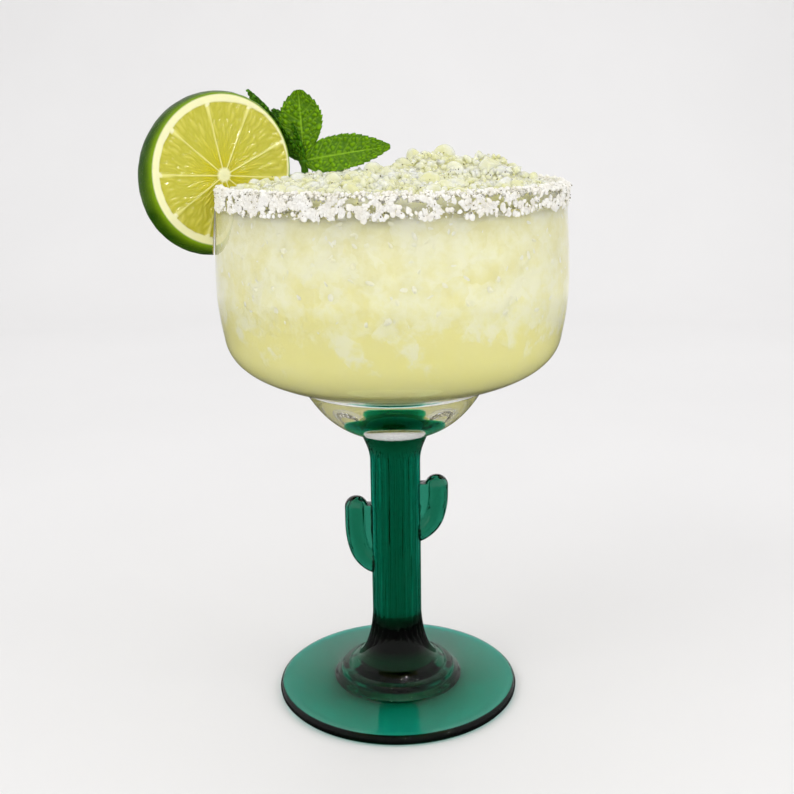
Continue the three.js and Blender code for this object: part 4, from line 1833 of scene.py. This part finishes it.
        wheel.data.shade_smooth()
        return Maker.settle(wheel, "lime", ["lime_wheel"])


@dataclass(frozen=True)
class LeafShape:
    """One mint leaf: where its tip is, the way its face looks, its width and its form."""

    name: str
    tip: Spot
    facing: Spot
    width: float
    fullest: float
    arch: float


@dataclass
class MintSprig:
    """A sprig of mint: a short stalk with quilted, toothed leaves."""

    node: Spot = (-29.9, 18.5, 188.6)
    foot: Spot = (-29.8, 18.5, 178.6)
    leaves: tuple[LeafShape, ...] = (
        LeafShape("mint_leaf_upright", (-31.4, 20.5, 212.2), (0.1, -1, 0.1), 15.4, 0.58, -1.2),
        LeafShape("mint_leaf_right", (-0.2, 13.5, 193), (0.1, -0.85, 0.5), 14.6, 0.38, 0.4),
        LeafShape("mint_leaf_back", (-41, 27.5, 205.8), (-0.75, -0.3, 0.6), 11, 0.5, 0.8),
        LeafShape("mint_leaf_left", (-48.6, 20.5, 212.6), (-0.6, -0.75, -0.3), 7.6, 0.5, 0.6),
    )
    rows: int = 84
    lanes: int = 45
    teeth: int = 13
    thickness: float = 0.55

    def vein_share(self, u: float, lane: float, shape: LeafShape, length: float) -> Span:
        """How much of a point is vein, and how high the quilting stands there.

        Args:
            u: How far along the leaf, from 0 to 1.
            lane: How far across it, from -1 to 1.
            shape: The leaf.
            length: The leaf's length.

        Returns:
            The vein's share and the quilting's share, each from 0 to 1.
        """
        across = abs(lane) * shape.width / 2
        midrib = 1 - float(smoothstep(0.25, 0.75 - 0.35 * u, across))
        phase = (u * length - across * 0.62) / (length / 9)
        side = abs((phase + 0.5) % 1 - 0.5) * (length / 9)
        branch = (1 - float(smoothstep(0.12, 0.4, side))) * float(smoothstep(0.0, 0.12, abs(lane)))
        branch *= 1 - float(smoothstep(0.8, 1.0, abs(lane)))
        fine = noise.voronoi(Vector((u * length / 1.7, lane * shape.width / 3.4, 1.7)))[0]
        net = 1 - float(smoothstep(0.0, 0.42, fine[1] - fine[0]))
        quilt = max(0.0, 1 - 0.8 * midrib - branch - 0.9 * net)
        return max(midrib, 0.6 * branch, 0.15 * net), quilt

    def build_leaf(self, shape: LeafShape, material: Material) -> Thing:
        """Makes one leaf as a thin quilted solid with a toothed edge.

        Args:
            shape: The leaf's shape.
            material: The material that it wears.

        Returns:
            The leaf.
        """
        node, tip = Vector(self.node), Vector(shape.tip)
        base = node + (tip - node).normalized() * 0.4
        length = (tip - base).length
        ahead = (tip - base).normalized()
        across = Vector(shape.facing).cross(ahead).normalized()
        out = ahead.cross(across)
        power = math.log(0.5) / math.log(shape.fullest)
        lanes = np.sin(np.linspace(-math.pi / 2, math.pi / 2, self.lanes) * 0.93)
        lanes /= lanes[-1]
        grids = {1: [], -1: []}
        veins: dict[int, list[float]] = {1: [], -1: []}
        quilts: dict[int, list[float]] = {1: [], -1: []}
        for i in range(self.rows):
            u = i / (self.rows - 1)
            saw = (u * self.teeth) % 1
            tooth = 1 - 0.085 * (1 - saw) * float(smoothstep(0.06, 0.2, u))
            swell = math.sin(math.pi * (0.03 + 0.95 * u**power)) ** 0.75
            rise = shape.arch * 4 * u * (1 - u)
            for lane in lanes:
                edge = float(smoothstep(0.72, 1.0, abs(lane)))
                half = shape.width / 2 * swell * (1 - (1 - tooth) * edge)
                lean = 0.35 * math.sin(9 * u + 2 * lane) * abs(lane)
                vein, quilt = self.vein_share(u, lane, shape, length)
                relief = 0.75 * quilt * (1 - 0.5 * edge) - 0.12 * vein
                spot = base + ahead * (u * length + 0.5 * edge * (saw - 0.5)) + across * (lane * half)
                dish = 0.18 * half * lane * lane
                for face in (1, -1):
                    thick = face * self.thickness / 2 * (1 - 0.6 * edge)
                    grids[face].append(spot + out * (rise + dish + lean + relief + thick))
                    veins[face].append(vein)
                    quilts[face].append(quilt)
        top, bottom = (np.array(grids[face]).reshape(self.rows, self.lanes, 3) for face in (1, -1))
        points, faces = Shell.leaflike(top, bottom)
        leaf = Maker.piece(shape.name, points, faces, material)
        Maker.attribute(leaf, "vein", np.array(veins[1] + veins[-1]))
        Maker.attribute(leaf, "quilt", np.array(quilts[1] + quilts[-1]))
        return leaf

    def build_stalk(self, material: Material) -> Thing:
        """Makes the short stalk, grooved and thicker at the joint of the leaves.

        Args:
            material: The material that it wears.

        Returns:
            The stalk.
        """
        foot, node = Vector(self.foot), Vector(self.node)
        rings = []
        for t in np.linspace(0, 1, 18):
            spot = foot.lerp(node, t)
            girth = 1.15 + 0.75 * float(smoothstep(0.75, 1.0, t))
            ring = []
            for j in range(24):
                angle = 2 * math.pi * j / 24
                radius = girth * (1 + 0.08 * math.cos(4 * angle))
                ring.append((spot.x + radius * math.cos(angle), spot.y + radius * math.sin(angle), spot.z))
            rings.append(np.array(ring))
        points, faces = Shell.domed(rings, tuple(foot), tuple(node + Vector((0, 0, 0.8))))
        stalk = Maker.piece("mint_stalk", points, faces, material)
        Maker.attribute(stalk, "vein", np.full(len(points), 0.35))
        Maker.attribute(stalk, "quilt", np.full(len(points), 0.2))
        return stalk

    def build(self, bright: LeafFinish, dark: LeafFinish) -> list[Thing]:
        """Makes the stalk and the leaves; the stalk and the two leaves behind wear a darker copy of the finish,
        as painted shade.

        Args:
            bright: The finish of the leaves in front, the lit copy.
            dark: The darker copy for the rest, painted shade.

        Returns:
            The stalk and the leaves.
        """
        # The second finish is a darker copy of the first: painted shade on the leaves behind and the stalk.
        lit_green, shaded_green = bright.build(), dark.build()
        pieces = [self.build_stalk(shaded_green)]
        for i, shape in enumerate(self.leaves):
            pieces.append(self.build_leaf(shape, lit_green if i < 2 else shaded_green))
        return [Maker.settle(thing, "mint", ["mint_sprig"]) for thing in pieces]


class Side(Enum):
    """Where a soft light stands, seen from the camera."""

    LEFT = (-0.75, -0.55, 0.85)
    RIGHT = (0.85, -0.35, 0.6)
    BACK = (0.1, 0.8, 0.9)
    LOW = (-0.15, -0.9, 0.32)


@dataclass
class Studio:
    """The camera at the photograph's viewing angle, a pale floor and soft lights."""

    distance: float = 0.3627
    height: float = 0.2008
    aside: float = 0.00094
    pitch: float = math.radians(14.22)
    roll: float = math.radians(-0.748)
    focal_pixels: float = 1081.3
    frame_pixels: float = 794.0
    bright: float = 0.85
    dark: float = 0.12
    panel_size: float = 0.6
    glint_size: float = 0.04
    glint_power: float = 1.7

    def place_camera(self) -> None:
        """Sets the camera."""
        lens = bpy.data.cameras.new("camera")
        lens.sensor_width = 36.0
        lens.lens = self.focal_pixels / self.frame_pixels * lens.sensor_width
        lens.clip_start, lens.clip_end = 0.01, 50.0
        camera = bpy.data.objects.new("camera", lens)
        tilt = Matrix.Rotation(math.pi / 2 - self.pitch, 4, "X") @ Matrix.Rotation(self.roll, 4, "Z")
        camera.matrix_world = Matrix.Translation((self.aside, -self.distance, self.height)) @ tilt
        bpy.context.scene.collection.objects.link(camera)
        bpy.context.scene.camera = camera

    def place_floor(self) -> None:
        """Makes the pale floor, which turns up into a wall far behind; near the glass it turns near black to
        first mirrored rays, as painted shade in reflections.
        """
        material, bench, shader, _ = fresh_material("pale_floor")
        tone = Effects.mottle(bench, 4.0, contrast=0.0)
        pale = bench.mix(tone, srgb(236, 235, 235), srgb(240, 239, 239))
        place = bench.put("ShaderNodeTexCoord").outputs["Object"]
        away = bench.put("ShaderNodeVectorMath", {0: place}, operation="LENGTH").outputs["Value"]
        # Near the glass the floor turns near black to rays mirrored straight from what the camera sees: painted
        # shade in the reflections.
        near = bench.ramp(away, 0.55, 0.9, 1.0, 0.0)
        shade = bench.times(near, self.first_mirror(bench))
        bench.feed(shader.inputs["Base Color"], bench.mix(shade, pale, (0.05, 0.05, 0.05, 1.0)))
        shader.inputs["Roughness"].default_value = 0.6
        shader.inputs["Specular IOR Level"].default_value = 0.2
        reach, back, rise, bend_radius = 3.0, 0.75, 2.2, 0.35
        turn = np.linspace(0, math.pi / 2, 16)
        sweep = [(back + bend_radius * math.sin(t), bend_radius * (1 - math.cos(t))) for t in turn]
        line = [(-reach, 0.0), (0.0, 0.0), *sweep, (back + bend_radius, rise)]
        drop = 0.0002
        points = np.array([(x, y, z - drop) for y, z in line for x in (-reach, reach)])
        faces: Faces = [(2 * i, 2 * i + 1, 2 * i + 3, 2 * i + 2) for i in range(len(line) - 1)]
        floor = Maker.piece("floor", points / MM, faces, material)

    def first_mirror(self, bench: Bench) -> Socket:
        """Whether a ray comes straight from a mirroring surface that the camera sees.

        Args:
            bench: The bench of the material that uses it.

        Returns:
            One for such a ray, and otherwise zero.
        """
        path = bench.put("ShaderNodeLightPath").outputs
        first = bench.times(path["Is Reflection Ray"], bench.reckon(path["Ray Depth"], 1.5, "LESS_THAN"))
        return bench.times(first, bench.reckon(1.0, path["Is Diffuse Ray"], "SUBTRACT"))

    def place_light(self, name: str, spot: Sequence[float], size: float, power: float, glint: bool) -> None:
        """Hangs one square light that looks at the drink.

        Args:
            name: The light's name.
            spot: Where it hangs, in metres.
            size: The length of its side.
            power: Its power in watts.
            glint: Whether it only glints in glossy things, or else only lights them softly.
        """
        lamp = bpy.data.lights.new(name, "AREA")
        lamp.shape = "SQUARE"
        lamp.size = size
        lamp.energy = power
        light = bpy.data.objects.new(name, lamp)
        aim = Vector((0, 0, 0.12)) - Vector(spot)
        light.location = spot
        light.rotation_mode = "QUATERNION"
        light.rotation_quaternion = aim.to_track_quat("-Z", "Y")
        light.visible_glossy = glint
        light.visible_transmission = False
        light.visible_diffuse = not glint
        bpy.context.scene.collection.objects.link(light)

    def place_room(self) -> None:
        """Makes the room: evenly bright, and darker overhead for what mirrors it."""
        world = bpy.data.worlds.new("room")
        bpy.context.scene.world = world
        world.use_nodes = True
        bench = Bench(world.node_tree)
        world.node_tree.nodes.clear()
        way = bench.put("ShaderNodeTexCoord").outputs["Generated"]
        split = bench.put("ShaderNodeSeparateXYZ", {0: way})
        above = bench.ramp(split.outputs["Z"], 0.35, 0.8, 0.0, 1.0 - self.dark)
        dim = bench.times(above, self.first_mirror(bench))
        strength = bench.ramp(dim, 0.0, 1.0, self.bright, 0.0)
        glow = bench.put("ShaderNodeBackground", {"Color": WHITE, "Strength": strength})
        bench.put("ShaderNodeOutputWorld", {"Surface": glow.outputs["Background"]})

    def place_lights(self) -> None:
        """Hangs the lights: a bright room, four soft panels and a few small ones for glints."""
        self.place_room()
        powers = {Side.LEFT: 2.3, Side.RIGHT: 1.8, Side.BACK: 1.2, Side.LOW: 0.9}
        for side, power in powers.items():
            self.place_light(f"panel_{side.name.lower()}", side.value, self.panel_size, power, glint=False)
        spots = [(-0.5, -0.7, 1.1), (-0.2, -0.5, 1.3), (0.12, -0.75, 1.0), (0.3, -0.35, 1.2), (0.7, -0.5, 0.9)]
        for i, spot in enumerate(spots):
            self.place_light(f"glint_{i}", spot, self.glint_size, self.glint_power, glint=True)

    def set_colours(self) -> None:
        """Shows colours as they are, and lets light pass through all the layers of glass."""
        scene = bpy.context.scene
        scene.view_settings.view_transform = "Standard"
        scene.view_settings.look = "None"
        scene.cycles.max_bounces = 24
        scene.cycles.transmission_bounces = 20
        scene.cycles.glossy_bounces = 8
        scene.cycles.diffuse_bounces = 6
        scene.cycles.transparent_max_bounces = 16


def measured_glass() -> Glassware:
    """Takes the glass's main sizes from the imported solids.

    Returns:
        The glass, not yet built.
    """
    bowl_low, bowl_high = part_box("bowl")
    stem_low, stem_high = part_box("stem")
    return Glassware(
        rim_height=bowl_high.z / MM,
        bowl_radius=(bowl_high.x - bowl_low.x) / 2 / MM,
        foot_radius=(stem_high.x - stem_low.x) / 2 / MM,
        stem_top=stem_high.z / MM,
    )


def build_glass(glass: Glassware) -> None:
    """Builds the bowl and the stem in their clear and green glass.

    Args:
        glass: The glass, with its sizes.
    """
    clear = GlassFinish("clear_glass")
    shadow = srgb(72, 126, 99)
    green = GlassFinish(
        "green_glass",
        tint=(0.0, 0.79, 0.72, 1.0),
        density=650.0,
        shadow=shadow,
        mirror=(0.3, 0.3, 0.3, 1.0),
        streak_height=0.0002,
    )
    # The arms wear a greyer, denser copy of the same green glass: painted haze and painted shade, since the
    # real glass is one colour throughout.
    arms = GlassFinish(
        "green_glass_arms_painted_haze",
        tint=(0.42, 0.79, 0.72, 1.0),
        density=1300.0,
        shadow=shadow,
        mirror=(0.8, 0.8, 0.8, 1.0),
        streak_height=0.00025,
    )
    glass.build_bowl(clear)
    glass.build_stem(green)
    glass.build_arms(arms)
    glass.build_tier(green)
    glass.build_bubble(clear)
    glass.build_hollow(GlassFinish("foot_hollow"))


def build_drink(glass: Glassware, wheel: WheelPlace, heap: IceHeap) -> None:
    """Builds the drink, the ice in it and the heap of ice over it.

    Args:
        glass: The glass, with its sizes.
        wheel: Where the lime wheel sits.
        heap: The heap of ice.
    """
    liquid = GlassFinish(
        "lime_drink", ior=1.34, tint=(0.95, 0.93, 0.5, 1.0), density=120.0, wave_height=0.0, shadow=WHITE
    )
    slush = SlushFinish(
        "cloudy_slush", (0.965, 0.945, 0.70, 1.0), (0.85, 0.815, 0.45, 1.0), (0.94, 0.897, 0.39, 1.0)
    )
    sunk = IceFinish(
        "sunk_ice", (0.99, 0.985, 0.88, 1.0), (0.965, 0.945, 0.7, 1.0), clearness=0.0, gloss=0.0, cloudiness=0.0
    )
    heap_slush = SlushFinish(
        "heap_slush", srgb(238, 237, 202), srgb(224, 222, 152), srgb(230, 228, 164), gloss=0.5
    )
    ice = IceFinish(
        "crushed_ice", srgb(249, 250, 238), srgb(238, 237, 188), clearness=0.12, roughness=0.09, gloss=0.9
    )
    drink = Drink(glass, wheel)
    drink.build_liquid(liquid)
    drink.build_slush(slush)
    drink.build_sunk_ice(sunk)
    heap.build_core(heap_slush)
    heap.build_lumps(ice)


def build_garnish(glass: Glassware, wheel: WheelPlace, heap: IceHeap) -> None:
    """Builds the salt with its flecks, the lime wheel and the mint.

    Args:
        glass: The glass, with its sizes.
        wheel: Where the lime wheel sits.
        heap: The heap of ice.
    """
    salt = SaltFinish("coarse_salt", srgb(252, 250, 244), srgb(243, 239, 228))
    specks = SpeckFinish("spice_specks", srgb(70, 64, 34), srgb(124, 114, 70))
    # The second mint finish is the first made darker, as painted shade for the leaves behind.
    lit_leaf = LeafFinish("mint_lit", srgb(128, 178, 0), srgb(38, 88, 0), srgb(150, 196, 40))
    shaded_leaf = LeafFinish("mint_shaded", srgb(82, 144, 0), srgb(18, 64, 0), srgb(104, 162, 28))
    rim = SaltRim(glass, wheel)
    rim.build(salt)
    rim.build_specks(specks, heap)
    LimeWheel(wheel, glass).build(LimeFinish())
    MintSprig().build(lit_leaf, shaded_leaf)


def main() -> None:
    """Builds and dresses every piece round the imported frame."""
    logging.basicConfig(level=logging.INFO, format="%(message)s")
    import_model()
    studio = Studio()
    studio.set_colours()
    studio.place_camera()

    glass, wheel = measured_glass(), WheelPlace()
    heap = IceHeap(wheel)
    build_glass(glass)
    build_drink(glass, wheel, heap)
    build_garnish(glass, wheel, heap)
    studio.place_floor()
    studio.place_lights()


if __name__ == "__main__":
    main()
